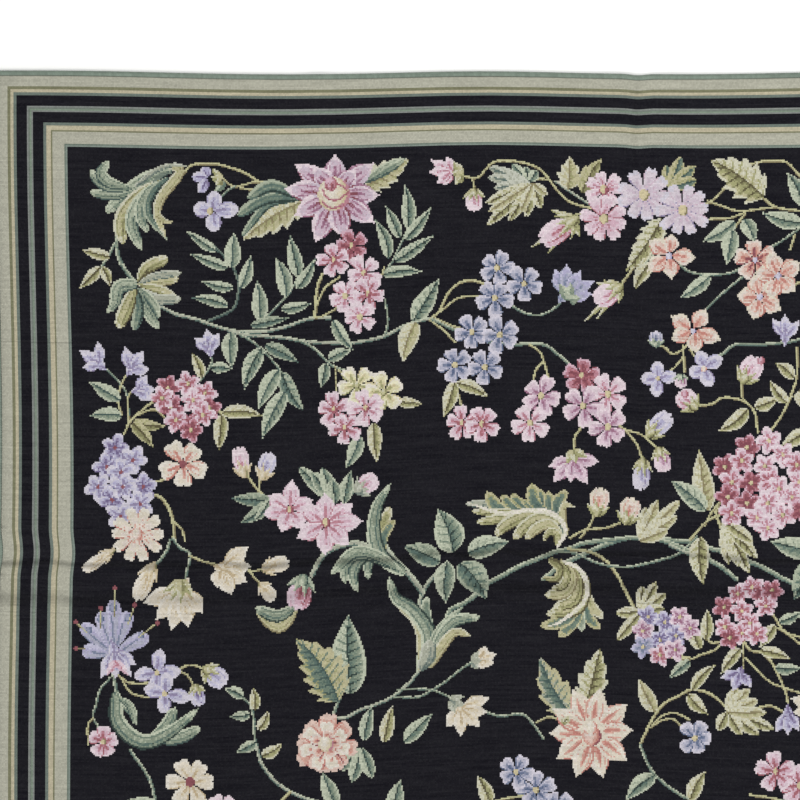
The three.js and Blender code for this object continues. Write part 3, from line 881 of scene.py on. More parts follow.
# Calyxes in front of flowers seen from the side. Columns: base, width, family, tips.
CALYXES = (
    ((573, 450), 9, "gold", (566, 464, 576, 463, 587, 457)),
    ((474, 192), 7, "gold", (463, 198, 469, 206, 479, 206, 485, 197)),
    ((462, 175), 10, "gold", (453, 161, 452, 172, 456, 184)),
    ((222, 180), 8, "gold", (212, 168, 211, 177, 216, 185)),
    ((183, 580), 9, "gold", (163, 592, 170, 601, 180, 603, 192, 597)),
    ((569, 300), 11, "pale", (560, 284, 571, 283, 580, 298)),
    ((450, 700), 9, "silver", (464, 696, 465, 705, 455, 713)),
    ((472, 662), 8, "silver", (478, 651, 482, 660, 479, 669)),
    ((116, 660), 8, "pink", (107, 675, 128, 675)),
    ((618, 289), 6, "gold", (596, 283, 585, 321, 597, 319)),
    ((574, 219), 7, "gold", (551, 210, 532, 247, 547, 254, 579, 236)),
)

# Leaves of several points from one base. Columns: base, width, family, tips.
LEAF_FANS = (
    ((530, 182), 11, "cool", (512, 164, 525, 167, 537, 170)),
    ((530, 184), 13, "silver", (489, 167, 488, 177, 494, 188)),
    ((533, 183), 13, "gold", (486, 203, 487, 225, 509, 221, 526, 217, 541, 208)),
    ((533, 183), 10, "yellow", (488, 212, 520, 213, 547, 195)),
    ((670, 188), 14, "mixed", (666, 166, 681, 157, 695, 166, 697, 180)),
    ((336, 503), 16, "cool", (299, 467, 312, 472, 322, 468, 332, 480)),
    ((724, 521), 14, "gold", (728, 564, 739, 567, 749, 573, 757, 558, 753, 542)),
    ((640, 541), 14, "yellow", (646, 507, 658, 500, 680, 500, 677, 516, 668, 530)),
    ((641, 612), 13, "gold", (642, 586, 656, 582, 666, 593, 664, 608, 616, 613, 617, 640)),
    ((727, 712), 14, "gold", (774, 729, 759, 735, 742, 735, 718, 730)),
    ((727, 712), 14, "yellow", (737, 687, 749, 689, 758, 700, 766, 713)),
    ((362, 748), 15, "cool", (340, 770, 352, 782, 372, 778)),
)

# Flowers whose petals differ. Columns: middle, width, family, form, tones, tips.
PETALS = (
    ((335, 192), 22, "lotus", "ogee", "petal", (295, 164, 335, 154, 374, 163, 313, 168, 356, 170)),
    ((335, 194), 23, "lotus", "ogee", "petal", (284, 189, 380, 195, 294, 216, 375, 223)),
    ((335, 196), 24, "lotus", "ogee", "petal", (315, 243, 344, 238)),
    ((208, 178), 12, "lilac", "pointed", "streaked", (203, 167, 192, 176, 199, 193)),
    ((213, 211), 17, "lilac soft", "pointed", "petal", (215, 191, 193, 208, 214, 232, 239, 209)),
    ((669, 255), 18, "peach", "ogee", "petal", (672, 234, 696, 258, 672, 279, 647, 271, 649, 240)),
    ((693, 330), 18, "peach", "ogee", "petal", (671, 316, 706, 309, 721, 340, 671, 340, 697, 353)),
    ((290, 510), 18, "pink pale", "ogee", "petal", (292, 480, 268, 495, 263, 514, 281, 532, 304, 528,
        313, 500)),
    ((326, 523), 20, "pink pale", "ogee", "petal", (325, 493, 353, 504, 363, 521, 297, 538, 325, 555,
        349, 545, 302, 506)),
    ((658, 378), 14, "lilac soft", "pointed", "petal", (657, 361, 641, 379, 656, 397, 677, 376)),
    ((704, 368), 15, "lilac soft", "pointed", "petal", (699, 351, 722, 357, 689, 375, 710, 387)),
    ((112, 655), 16, "lily blue", "petal", "streaked", (82, 624, 83, 650, 148, 635, 101, 612, 129, 612,
        114, 600)),
    ((157, 672), 15, "lilac soft", "pointed", "petal", (160, 649, 134, 676, 155, 693, 181, 672)),
    ((165, 694), 15, "lilac soft", "pointed", "petal", (167, 672, 144, 688, 191, 698, 163, 713)),
    ((695, 738), 15, "blue", "petal", "petal", (683, 724, 703, 722, 711, 738, 700, 753, 682, 750)),
    ((103, 742), 15, "pink", "petal", "petal", (90, 735, 104, 726, 117, 738, 110, 755, 95, 755)),
    ((592, 733), 23, "cream rose", "ogee", "flame", (549, 733, 573, 689, 627, 704, 633, 730, 603, 778,
        557, 759)),
    ((592, 733), 23, "cream rose", "ogee", "flame", (553, 709, 600, 688, 576, 777, 627, 761)),
    ((592, 733), 11, "cream rose", "ogee", "plain", (578, 726, 586, 717, 597, 717, 606, 724, 608, 738,
        599, 748, 584, 748)),
)

# Open flowers with even petals. Columns: petals, family, core's family and share, then x, y, radius of each.
FLOWERS = (
    (5, "rose", "rose dot", 0.2, (352, 246, 17)),
    (5, "pink", "rose dot", 0.2, (334, 260, 17)),
    (5, "pink pale", "rose dot", 0.2, (364, 273, 18)),
    (5, "pink pale", "disc", 0.2, (345, 296, 17)),
    (5, "pink", "rose dot", 0.2, (368, 294, 17)),
    (5, "pink pale", "disc", 0.2, (360, 317, 17)),
    (7, "pink pale", "rose dot", 0.25, (604, 190, 20)),
    (8, "pink", "disc", 0.2, (604, 219, 24)),
    (9, "daisy", "disc", 0.2, (644, 195, 28)),
    (10, "daisy", "disc", 0.2, (683, 210, 27)),
    (5, "peach deep", "lilac soft", 0.14, (755, 260, 21)),
    (5, "peach", "lilac soft", 0.14, (760, 297, 24), (778, 276, 24)),
    (5, "blue", "disc", 0.17, (497, 268, 18), (524, 284, 18), (495, 298, 19), (472, 332, 18),
        (500, 335, 19), (455, 365, 18), (485, 367, 18)),
    (5, "cream rose", "red dot", 0.17, (183, 464, 24)),
    (10, "cream rose", "peach", 0.22, (137, 534, 27)),
    (5, "pink", "rose dot", 0.2, (334, 410, 18), (345, 428, 17)),
    (5, "butter", "gold", 0.18, (357, 385, 19), (384, 392, 20)),
    (5, "pink pale", "rose dot", 0.2, (366, 408, 19)),
    (5, "pink", "rose dot", 0.2, (462, 423, 17), (482, 424, 18)),
    (8, "peach rose", "rose dot", 0.1, (326, 744, 31)),
    (7, "peach rose", "rose dot", 0.1, (326, 744, 29)),
    (7, "cream rose", "rose dot", 0.1, (326, 746, 24)),
    (5, "peach deep", "cream pink", 0.5, (326, 744, 16)),
    (5, "mauve", "disc", 0.18, (541, 396, 20)),
    (5, "pink pale", "disc", 0.18, (530, 423, 19)),
    (5, "rose", "rose dot", 0.2, (582, 376, 19)),
    (5, "pink pale", "disc", 0.18, (608, 394, 20)),
    (5, "mauve", "disc", 0.18, (583, 406, 20), (608, 427, 20)),
)

# Round flower heads. Columns: radius of a floret, its core, then x, y and family of each floret.
HEADS = (
    (13, ("disc", 0.16), ((168, 388, "rose"), (188, 384, "pink"), (205, 393, "pink"),
        (193, 400, "pink pale"), (171, 407, "rose"), (209, 408, "rose"), (186, 424, "rose"),
        (203, 415, "pink"), (176, 420, "pink"), (191, 430, "rose"), (162, 398, "pink"))),
    (15, ("red dot", 0.13), ((115, 448, "lilac"), (107, 467, "lilac"), (133, 460, "lilac soft"),
        (121, 472, "lilac soft"), (98, 487, "lilac soft"), (143, 487, "lilac"), (112, 500, "lilac"),
        (123, 487, "lilac soft"), (140, 504, "lilac soft"), (121, 517, "lilac soft"))),
    (14, ("disc", 0.16), ((747, 447, "rose"), (769, 441, "pink pale"), (725, 467, "rose"),
        (742, 461, "pink"), (783, 455, "pink pale"), (797, 465, "pink"), (765, 466, "pink pale"),
        (732, 482, "pink"), (751, 483, "rose"), (770, 481, "pink"), (728, 497, "rose"),
        (779, 489, "pink pale"), (747, 503, "rose"), (792, 497, "pink pale"), (732, 513, "pink"),
        (768, 503, "pink pale"), (757, 518, "pink pale"), (783, 515, "pink pale"),
        (800, 482, "pink pale"), (768, 528, "pink pale"), (802, 510, "rose"))),
    (12, ("disc", 0.16), ((648, 617, "lilac"), (665, 622, "lilac"), (680, 617, "mauve"),
        (643, 631, "mauve"), (660, 640, "lilac"), (676, 636, "lilac"), (643, 647, "lily blue"),
        (660, 655, "pink"), (690, 628, "mauve"), (675, 650, "mauve"))),
    (12, ("disc", 0.16), ((738, 594, "pink"), (752, 587, "pink"), (724, 607, "rose"),
        (742, 611, "pink"), (762, 594, "rose"), (766, 606, "pink"), (750, 623, "pink"),
        (725, 627, "pink"), (742, 633, "pink"), (730, 638, "rose"), (757, 634, "pink"),
        (772, 590, "rose"))),
)

# Closed buds. Columns: family, calyx's family, then for each bud base x, base y, tip x, tip y, width.
BUDS = (
    ("pink pale", "gold", (474, 190, 474, 211, 18)),
    ("pink", "gold", (575, 219, 541, 242, 25)),
    ("blue", "cool", (656, 346, 656, 331, 14)),
    ("mauve", "cool", (681, 375, 681, 388, 13)),
    ("pink pale", "gold", (620, 287, 595, 302, 24)),
    ("pink pale", "cream yellow", (244, 475, 238, 447, 18)),
    ("lilac soft", "cream yellow", (262, 478, 271, 453, 18)),
    ("lilac soft", "gold", (649, 435, 670, 414, 21), (643, 460, 640, 490, 18)),
    ("mauve", "gold", (659, 449, 665, 472, 18)),
    ("peach", "gold", (597, 514, 601, 488, 21), (626, 522, 633, 498, 22)),
    ("pink pale", "gold", (695, 408, 679, 392, 22), (743, 381, 758, 358, 24)),
    ("pink pale", "silver", (357, 491, 377, 477, 20)),
    ("rose bud", "cool", (304, 578, 296, 609, 26)),
    ("cream", "cream yellow", (264, 569, 289, 561, 17), (261, 584, 274, 600, 15),
        (153, 566, 136, 600, 18), (112, 551, 83, 571, 13)),
    ("lilac soft", "gold", (205, 669, 226, 684, 22)),
    ("lilac", "gold", (196, 686, 199, 706, 16)),
    ("gold", "gold", (562, 722, 570, 718, 8)),
)

# Round spots. Columns: x, y, radius, family.
SPOTS = (
    (685, 394, 4, "rose soft"), (761, 361, 4, "rose soft"), (334, 194, 17, "cream pink"),
    (331, 184, 7, "rose soft"), (330, 186, 4, "rose"), (210, 211, 3.5, "disc"),
    (669, 256, 3.5, "lilac soft"), (693, 331, 3, "lilac soft"), (658, 378, 2.5, "disc"),
    (704, 369, 3, "peach"), (290, 510, 4, "rose dot"), (326, 523, 5, "rose dot"), (157, 673, 3, "disc"),
    (165, 694, 3, "disc"), (113, 608, 4.5, "patch"), (101, 619, 4, "patch"), (128, 618, 4, "patch"),
    (89, 630, 3.5, "patch"), (141, 635, 3.5, "patch"), (592, 736, 10, "peach deep"),
    (591, 728, 7, "cream rose"), (695, 738, 3, "disc"), (103, 742, 3, "disc"),
)

# Lines worked last, over the flowers, in the columns of the stems.
LINES = (
    (2.0, "rose line", (323, 190, 327, 198, 337, 200, 347, 193), (322, 202, 331, 208, 343, 205)),
    (1.8, "rose line", (338, 184, 345, 188, 350, 195)),
)

# The unseen middle of the rug, finished with motifs of the same kinds. The rest repeats by turning.
MIDDLE_STEMS = (
    (3.4, "stem grey", (255, 740, 264, 768, 290, 792, 335, 806, 392, 812, 450, 832, 520, 852, 580, 868,
        642, 882)),
    (3.0, "stem cool", (130, 750, 150, 780, 160, 812, 190, 838, 240, 850, 300, 848, 345, 830)),
    (2.6, "stem yellow", (450, 832, 470, 812, 500, 800, 530, 795), (190, 838, 170, 856, 140, 866),
        (290, 792, 270, 812, 250, 822)),
    (3.0, "stem cool", (640, 745, 655, 775, 690, 800, 730, 812, 770, 806, 800, 790)),
    (2.6, "stem yellow", (690, 800, 700, 830, 725, 850)),
)
MIDDLE_LEAVES = (
    ("cool", 0, (160, 812, 128, 800, 17)),
    ("gold", 0, (165, 815, 150, 842, 16)),
    ("pale", 0, (335, 806, 322, 772, 18)),
    ("cool", 0, (392, 812, 400, 780, 18)),
    ("gold", 0, (345, 808, 362, 840, 18)),
    ("teal", 0, (420, 820, 412, 856, 20)),
    ("cool", 0, (240, 850, 226, 880, 16)),
    ("pale", 0, (300, 848, 310, 880, 18)),
    ("gold", 0, (490, 804, 478, 776, 16)),
    ("cool", 0, (520, 852, 545, 820, 20)),
    ("gold", 0, (530, 856, 520, 886, 18)),
    ("cool", 0, (655, 775, 626, 800, 18)),
    ("gold", 0, (690, 800, 705, 772, 17)),
    ("cool", 0, (730, 812, 748, 838, 18)),
    ("pale", 0, (725, 850, 758, 866, 17)),
    ("gold", 0, (140, 866, 112, 850, 15)),
    ("mixed", 7, (580, 868, 572, 836, 22)),
    ("pale", 8, (600, 872, 612, 832, 24)),
)
MIDDLE_FLOWERS = (
    (6, "cream", "red dot", 0.2, (190, 782, 24)),
    (5, "pink", "rose dot", 0.2, (246, 830, 20)),
    (5, "pink pale", "rose dot", 0.2, (222, 812, 19)),
    (5, "pink", "rose dot", 0.2, (268, 846, 19)),
    (8, "daisy", "disc", 0.2, (366, 862, 26), (340, 878, 24)),
    (6, "peach", "red dot", 0.15, (452, 870, 24)),
    (5, "blue", "disc", 0.17, (536, 790, 20), (516, 772, 18), (556, 808, 18)),
    (5, "pink", "rose dot", 0.2, (800, 786, 22), (776, 772, 20)),
    (6, "cream", "red dot", 0.2, (728, 862, 22)),
    (5, "lilac", "disc", 0.2, (130, 872, 20)),
    (11, "peach", "rose dot", 0.2, (642.7, 882.6, 46)),
    (8, "cream pink", "rose dot", 0.3, (642.7, 882.6, 30)),
)

# Stamens of the lily, each with a spot at its end. Columns: start, end.
STAMENS = (
    ((114, 616), (115, 588)), ((100, 628), (101, 608)), ((128, 624), (135, 605)), ((86, 632), (76, 622)),
    ((139, 637), (157, 623)), ((85, 648), (76, 648)),
)
STAMEN_WIDTH = 1.6
STAMEN_SPOT = 2.4

# A round head has a dark spot under each floret, a share of its radius wide, in a family that goes with the
# first floret's.
UNDER_FLORET = 0.66
UNDER_HEADS = {"rose": "under rose", "pink": "under rose", "lilac": "under lilac"}

# Motifs that begin left of this place are mirrored on the rug's right side too, where the photo ends.
MIRRORED_LEFT_OF = 470


def points(values):
    """Points of x and y from a plain run of values."""
    return np.reshape(values, (-1, 2))


def work_lines(chart, table, leftmost):
    """Works a table of stems or lines, but only those that start left of a place."""
    for width, family, *lines in table:
        for line in lines:
            if line[0] < leftmost:
                chart.stem(points(line), width, family)


def work_leaf(chart, leaf, family, teeth):
    """Works one leaf, a little bent to one side by chance."""
    bx, by, tx, ty, width = leaf
    tones = "leaf" if width > VEINED_LEAF else "small leaf"
    bend = chart.chance.uniform(-LEAF_BEND, LEAF_BEND)
    chart.lobe((bx, by), (tx, ty), width, family, "leaf", tones, bend, teeth)


def work_flower(chart, flower, count, family, core):
    """Works one open flower, turned by chance. A peach one has pointed petals."""
    x, y, radius = flower
    form, plump = ("ogee", 0.66) if family == "peach" else ("petal", 0.64)
    tones = "daisy" if count >= DAISY_PETALS else "petal"
    turn = chart.chance.uniform(0, 6)
    chart.flower((x, y), radius, count, family, core, turn, plump, form, tones)


def work_copy(chart, leftmost):
    """Works one copy of the design from back to front, with only the motifs that start left of a place."""
    def shown(x):
        return x < leftmost

    work_lines(chart, STEMS + MIDDLE_STEMS, leftmost)
    for family, teeth, *leaves in LEAVES + MIDDLE_LEAVES:
        for leaf in leaves:
            if shown(leaf[0]):
                work_leaf(chart, leaf, family, teeth)
    for base, width, family, tips in LEAF_FANS:
        if shown(base[0]):
            chart.petals(base, points(tips), width, family, "pointed", "leaf", hollow=0)
    for line, width, family, kind in SCROLLS:
        if shown(line[0]):
            chart.blade(points(line), width, family, *SCROLL_KINDS[kind])
    for radius, core, spots in HEADS:
        if shown(spots[0][0]):
            for x, y, _ in spots:
                chart.disc((x, y), radius * UNDER_FLORET, UNDER_HEADS[spots[0][2]], "plain")
            chart.florets(spots, radius, core)
    for middle, width, family, form, tones, tips in PETALS:
        if shown(middle[0]):
            chart.petals(middle, points(tips), width, family, form, tones)
    for count, family, core, share, *flowers in FLOWERS + MIDDLE_FLOWERS:
        for flower in flowers:
            if shown(flower[0]):
                work_flower(chart, flower, count, family, (core, share))
    for base, width, family, tips in BELLS:
        if shown(base[0]):
            chart.bell(base, points(tips), width, family)
    for base, width, family, tips in CALYXES:
        if shown(base[0]):
            chart.petals(base, points(tips), width, family, "leaf", "small leaf", hollow=0)
    for family, calyx, *buds in BUDS:
        for bx, by, tx, ty, width in buds:
            if shown(bx):
                chart.bud((bx, by), (tx, ty), width, family, calyx)
    for x, y, radius, family in SPOTS:
        if shown(x):
            chart.disc((x, y), radius, family)
    work_lines(chart, LINES, leftmost)
    for start, end in STAMENS:
        chart.stem((start, end), STAMEN_WIDTH, "stem yellow")
        chart.disc(end, STAMEN_SPOT, "red dot")


def work_design(chart):
    """Works the design as the photo shows it, the left motifs mirrored to the right side, and both again
    turned half round for the other end of the rug."""
    for way_x, way_y, leftmost in ((1, -1, MIRRORED_LEFT_OF), (-1, 1, MIRRORED_LEFT_OF),
                                   (-1, -1, math.inf), (1, 1, math.inf)):
        chart.way_x, chart.way_y = way_x, way_y
        work_copy(chart, leftmost)


# Border, from the cloth's edge inwards. Columns: yarn, stitches.
BORDER = (
    ("sage", 7), ("olive line", 2), ("cream line", 2), ("green line", 2), ("ground", 7),
    ("stripe light", 1), ("stripe mid", 1), ("stripe green", 1), ("stripe light", 1), ("ground", 7),
    ("green line", 2), ("cream line", 3), ("olive line", 1), ("sage", 8), ("inner dark", 1),
    ("inner light", 1),
)


def work_border(chart):
    """Every stitch nearer than the border's width to an edge takes the stripe at that distance, so the
    stripes meet in mitred corners."""
    stripe = np.array([YARN_NUMBER[name] for name, stitches in BORDER for _ in range(stitches)], np.uint8)
    columns, rows = np.arange(chart.columns), np.arange(chart.rows)
    from_side = np.minimum(columns, columns[::-1])
    from_end = np.minimum(rows, rows[::-1])
    depth = np.minimum(from_side[None, :], from_end[:, None])
    within = depth < len(stripe)
    chart.yarn[within] = stripe[depth[within]]


# The worked face

# How many lines between rows or columns a piece goes on by, in a fold and then elsewhere, and how much wider
# than its reach a fold is taken to be.
ROW_STEPS = (3, 8)
COLUMN_STEPS = (8, 24)
FACE_COLUMN_STEPS = (6, 30)
FOLD_ROOM = 1.04

# The bake map of a length of the face: the margin and the width of its strips, the height of a half and how
# far the right one starts over the left, and where the hidden faces start with their height.
STRIP_EDGE, STRIP_WIDTH = 0.005, 0.99
HALF_HEIGHT, RIGHT_START = 0.455, 0.465
HIDDEN_START, HIDDEN_HEIGHT = 0.940, 0.055


def linear(colour):
    """An sRGB colour of 0 to 1 in linear light: a power of 2.4 over a short straight start."""
    c = np.asarray(colour, float)
    return np.where(c <= 0.04045, c / 12.92, ((c + 0.055) / 1.055) ** 2.4)


def make_mesh(name, places, corners, material, smooth, layers=(), colours=None):
    """A mesh of triangles from whole arrays: places, three corners a face, which faces are smooth, and the
    layers of (name, two values a corner), then the yarn colour of each face."""
    mesh = bpy.data.meshes.new(name)
    mesh.vertices.add(len(places))
    mesh.vertices.foreach_set("co", np.ascontiguousarray(places, np.float32).ravel())
    mesh.loops.add(corners.size)
    mesh.loops.foreach_set("vertex_index", np.ascontiguousarray(corners, np.int32).ravel())
    mesh.polygons.add(len(corners))
    mesh.polygons.foreach_set("loop_start", np.arange(0, corners.size, 3, dtype=np.int32))
    mesh.update(calc_edges=True)
    mesh.polygons.foreach_set("use_smooth", np.ascontiguousarray(smooth, bool))
    for title, values in layers:
        layer = mesh.uv_layers.new(name=title)
        layer.uv.foreach_set("vector", np.ascontiguousarray(values, np.float32).ravel())
    if colours is not None:
        paint = mesh.attributes.new("yarn_colour", "FLOAT_COLOR", "CORNER")
        full = np.ones((len(corners), 3, 4), np.float32)
        full[:, :, :3] = colours[:, None, :]
        paint.data.foreach_set("color", full.ravel())
    mesh.materials.append(material)
    mesh.validate()
    piece = bpy.data.objects.new(name, mesh)
    bpy.context.scene.collection.objects.link(piece)
    return piece


def zip_rows(kept):
    """Triangles between each two neighbouring lines of a grid of which only some places are kept. Each kept
    place of a line, but its first, closes a triangle with the place before it and the last place so far on
    the other line. Returns three corners as place numbers, with the row and the column where each ends."""
    numbers = np.cumsum(kept).reshape(kept.shape) - 1
    so_far = np.maximum.accumulate(np.where(kept, numbers, -1), axis=1)
    low_row, low_column = np.nonzero(kept[:-1, 1:])
    high_row, high_column = np.nonzero(kept[1:, 1:])
    low = np.stack([so_far[low_row, low_column], so_far[low_row, low_column + 1],
                    so_far[low_row + 1, low_column]], 1)
    high = np.stack([so_far[high_row + 1, high_column], so_far[high_row, high_column + 1],
                     so_far[high_row + 1, high_column + 1]], 1)
    return (np.vstack([low, high]), np.concatenate([low_row, high_row]),
            np.concatenate([low_column, high_column]))


def column_place(columns, count):
    """How far across the cloth a line between two columns lies."""
    return (np.asarray(columns) / count - 0.5) * CLOTH_WIDTH


def row_place(rows, count):
    """How far along the cloth a line between two rows lies."""
    return (np.asarray(rows) / count - 0.5) * CLOTH_LENGTH


def shape_lines(places, folds, steps, first=0):
    """Which of many lines a piece always has places on: every few in a fold's reach, and sparse ones
    elsewhere, with the first, the middle and the last."""
    fine, coarse = steps
    number = np.arange(len(places)) + first
    in_fold = np.zeros(len(places), bool)
    for place, _, _, reach in folds:
        in_fold |= np.abs(places - place) < reach * FOLD_ROOM
    kept = np.where(in_fold, number % fine == 0, number % coarse == 0)
    kept[[0, len(kept) // 2, -1]] = True
    return kept


def shaping_rows(first, last, count):
    """The shape lines among the lines between rows, from a first to a last one."""
    return shape_lines(row_place(np.arange(first, last + 1), count), FOLDS_ALONG, ROW_STEPS, first)


def shaping_columns(count, steps):
    """The shape lines among all lines between columns."""
    return shape_lines(column_place(np.arange(count + 1), count), FOLDS_ACROSS, steps)


def wall(low, high, low_kept, high_kept, turned):
    """Triangles between a low and a high line of places, each with the places kept of one full line."""
    faces = np.concatenate([low, high])[zip_rows(np.stack([low_kept, high_kept]))[0]]
    return faces[:, ::-1] if turned else faces


def bake_places(column, row, rows, count, hidden):
    """Where the face lies on its bake map: its left half below its right half, each over the full width, and
    the hidden faces in a strip at the top."""
    half = count // 2
    right = column.mean(1, keepdims=True) > half
    u = (column - right * half) / (count - half)
    v = (row - rows[0]) / (rows[1] - rows[0])
    up = STRIP_EDGE + HALF_HEIGHT * v + RIGHT_START * right
    in_halves = np.stack([STRIP_EDGE + STRIP_WIDTH * u, up], 2)
    at_top = np.stack([STRIP_EDGE + STRIP_WIDTH * column / count, HIDDEN_START + HIDDEN_HEIGHT * v], 2)
    return np.where(hidden[:, None, None], at_top, in_halves)


def make_length(number, chart, kept, rows, sizes, material):
    """One length of the worked face between two folds: a thin closed slab. Its top has a place wherever the
    yarn changes, so every face has one yarn, and its underside is a grid of the lines its shape needs."""
    first, last = rows
    top_kept = kept[first:last + 1]
    all_rows = np.ones(len(top_kept), bool)
    some_rows = shaping_rows(first, last, chart.rows)
    some_columns = shaping_columns(chart.columns, COLUMN_STEPS)
    under_kept = some_rows[:, None] & some_columns
    places, grid = [], []
    for mask, height in ((top_kept, CLOTH_THICKNESS), (under_kept, CLOTH_THICKNESS - sizes.face_thickness)):
        row, column = np.nonzero(mask)
        across, along = column_place(column, chart.columns), row_place(row + first, chart.rows)
        x, y = laid_place(across, along)
        places.append(np.stack([x, y, lift(across, along) + height], 1))
        grid.append(np.stack([column, row + first], 1))
    top, top_row, top_column = zip_rows(top_kept)
    under_number = np.arange(under_kept.sum()).reshape(some_rows.sum(), -1) + len(places[0])
    under = zip_rows(np.ones_like(under_number, bool))[0][:, ::-1] + len(places[0])
    top_number = np.cumsum(top_kept).reshape(top_kept.shape) - 1
    walls = [wall(under_number[0], top_number[0][top_kept[0]], some_columns, top_kept[0], False),
             wall(under_number[-1], top_number[-1][top_kept[-1]], some_columns, top_kept[-1], True),
             wall(under_number[:, 0], top_number[:, 0], some_rows, all_rows, True),
             wall(under_number[:, -1], top_number[:, -1], some_rows, all_rows, False)]
    corners = np.vstack([top, under, *walls])
    shown = np.arange(len(corners)) < len(top)
    yarn = np.full(len(corners), YARN_NUMBER["ground"])
    yarn[:len(top)] = chart.yarn[first + top_row, top_column]
    shades = linear(np.array(list(YARNS.values())) / 255)
    at = np.vstack(grid)[corners].astype(float)
    bake = bake_places(at[:, :, 0], at[:, :, 1], rows, chart.columns, ~shown)
    return make_mesh(f"wool_face_{number}", np.vstack(places), corners, material, shown,
                     (("stitches", at), ("OFBake", bake)), shades[yarn])


def make_face(chart, sizes, material):
    """The worked face in lengths that end at the folds along the rug. A line between two rows has a place
    wherever the row under it or the row over it changes yarn, so all faces meet at their corners."""
    change = np.zeros((chart.rows, chart.columns + 1), bool)
    change[:, 1:-1] = chart.yarn[:, 1:] != chart.yarn[:, :-1]
    change |= shaping_columns(chart.columns, FACE_COLUMN_STEPS)
    kept = np.zeros((chart.rows + 1, chart.columns + 1), bool)
    kept[:-1] = change
    kept[1:] |= change
    folds = [round((place / CLOTH_LENGTH + 0.5) * chart.rows) for place, _, _, _ in FOLDS_ALONG]
    ends = [0, *folds, chart.rows]
    return [make_length(number, chart, kept, rows, sizes, material)
            for number, rows in enumerate(zip(ends[:-1], ends[1:]), 1)]


# Canvas and bindings

# Bake maps: the margin, the height of each side of the canvas and where its top starts, then the bands that
# a binding is cut into, the length of one, and its own margin and height.
MAP_EDGE = 0.01
CANVAS_SIDE_HEIGHT, CANVAS_TOP_START = 0.49, 0.5
BAKE_BANDS, BAND_LENGTH = 12, 0.97
BAND_EDGE, BAND_HEIGHT = 0.05, 0.9
ROUNDING = 1e-9

# How round the wraps of a binding swell, the share of its thickness that is left at its ends, and the sides
# of its section that one stitch takes.
SWELL_POWER = 0.6
END_THICKNESS = 0.30
SIDES_A_STITCH = 2.0


def make_canvas(sizes, material):
    """The canvas and backing under the face: a closed slab of even thickness on a grid that is close in the
    folds and wide elsewhere, with its top just under the worked face."""
    rows = np.flatnonzero(shaping_rows(0, sizes.rows, sizes.rows))
    columns = np.flatnonzero(shaping_columns(sizes.columns, COLUMN_STEPS))
    kept = np.ones((len(rows), len(columns)), bool)
    all_rows, all_columns = kept[:, 0], kept[0]
    row, column = (line.ravel() for line in np.meshgrid(rows, columns, indexing="ij"))
    across, along = column_place(column, sizes.columns), row_place(row, sizes.rows)
    x, y = laid_place(across, along)
    base = np.stack([x, y, lift(across, along)], 1)
    top = base + (0, 0, CLOTH_THICKNESS - sizes.face_thickness - sizes.face_gap)
    faces = zip_rows(kept)[0]
    under = np.arange(kept.size).reshape(kept.shape)
    over = under + kept.size
    walls = [wall(under[0], over[0], all_columns, all_columns, False),
             wall(under[-1], over[-1], all_columns, all_columns, True),
             wall(under[:, 0], over[:, 0], all_rows, all_rows, True),
             wall(under[:, -1], over[:, -1], all_rows, all_rows, False)]
    corners = np.vstack([faces + kept.size, faces[:, ::-1], *walls])
    smooth = np.arange(len(corners)) < 2 * len(faces)
    is_top = np.arange(len(corners)) < len(faces)
    spread = np.tile(np.stack([column / sizes.columns, row / sizes.rows], 1), (2, 1))[corners]
    start = np.where(is_top, CANVAS_TOP_START, 0)[:, None, None] * (0, 1)
    bake = MAP_EDGE + (1 - 2 * MAP_EDGE) * spread * (1, CANVAS_SIDE_HEIGHT) + start
    return make_mesh("rug_canvas", np.vstack([base, top]), corners, material, smooth, (("OFBake", bake),))


# The binding's section against the cloth's edge, as shares of its width and height: out, up.
SECTION = ((0, 0.02), (0.30, 0.0), (0.66, 0.0), (0.92, 0.20), (1.0, 0.48), (0.90, 0.80), (0.60, 1.0),
           (0.25, 0.96), (0, 0.82))
SECTION_MIDDLE = (0.42, 0.48)


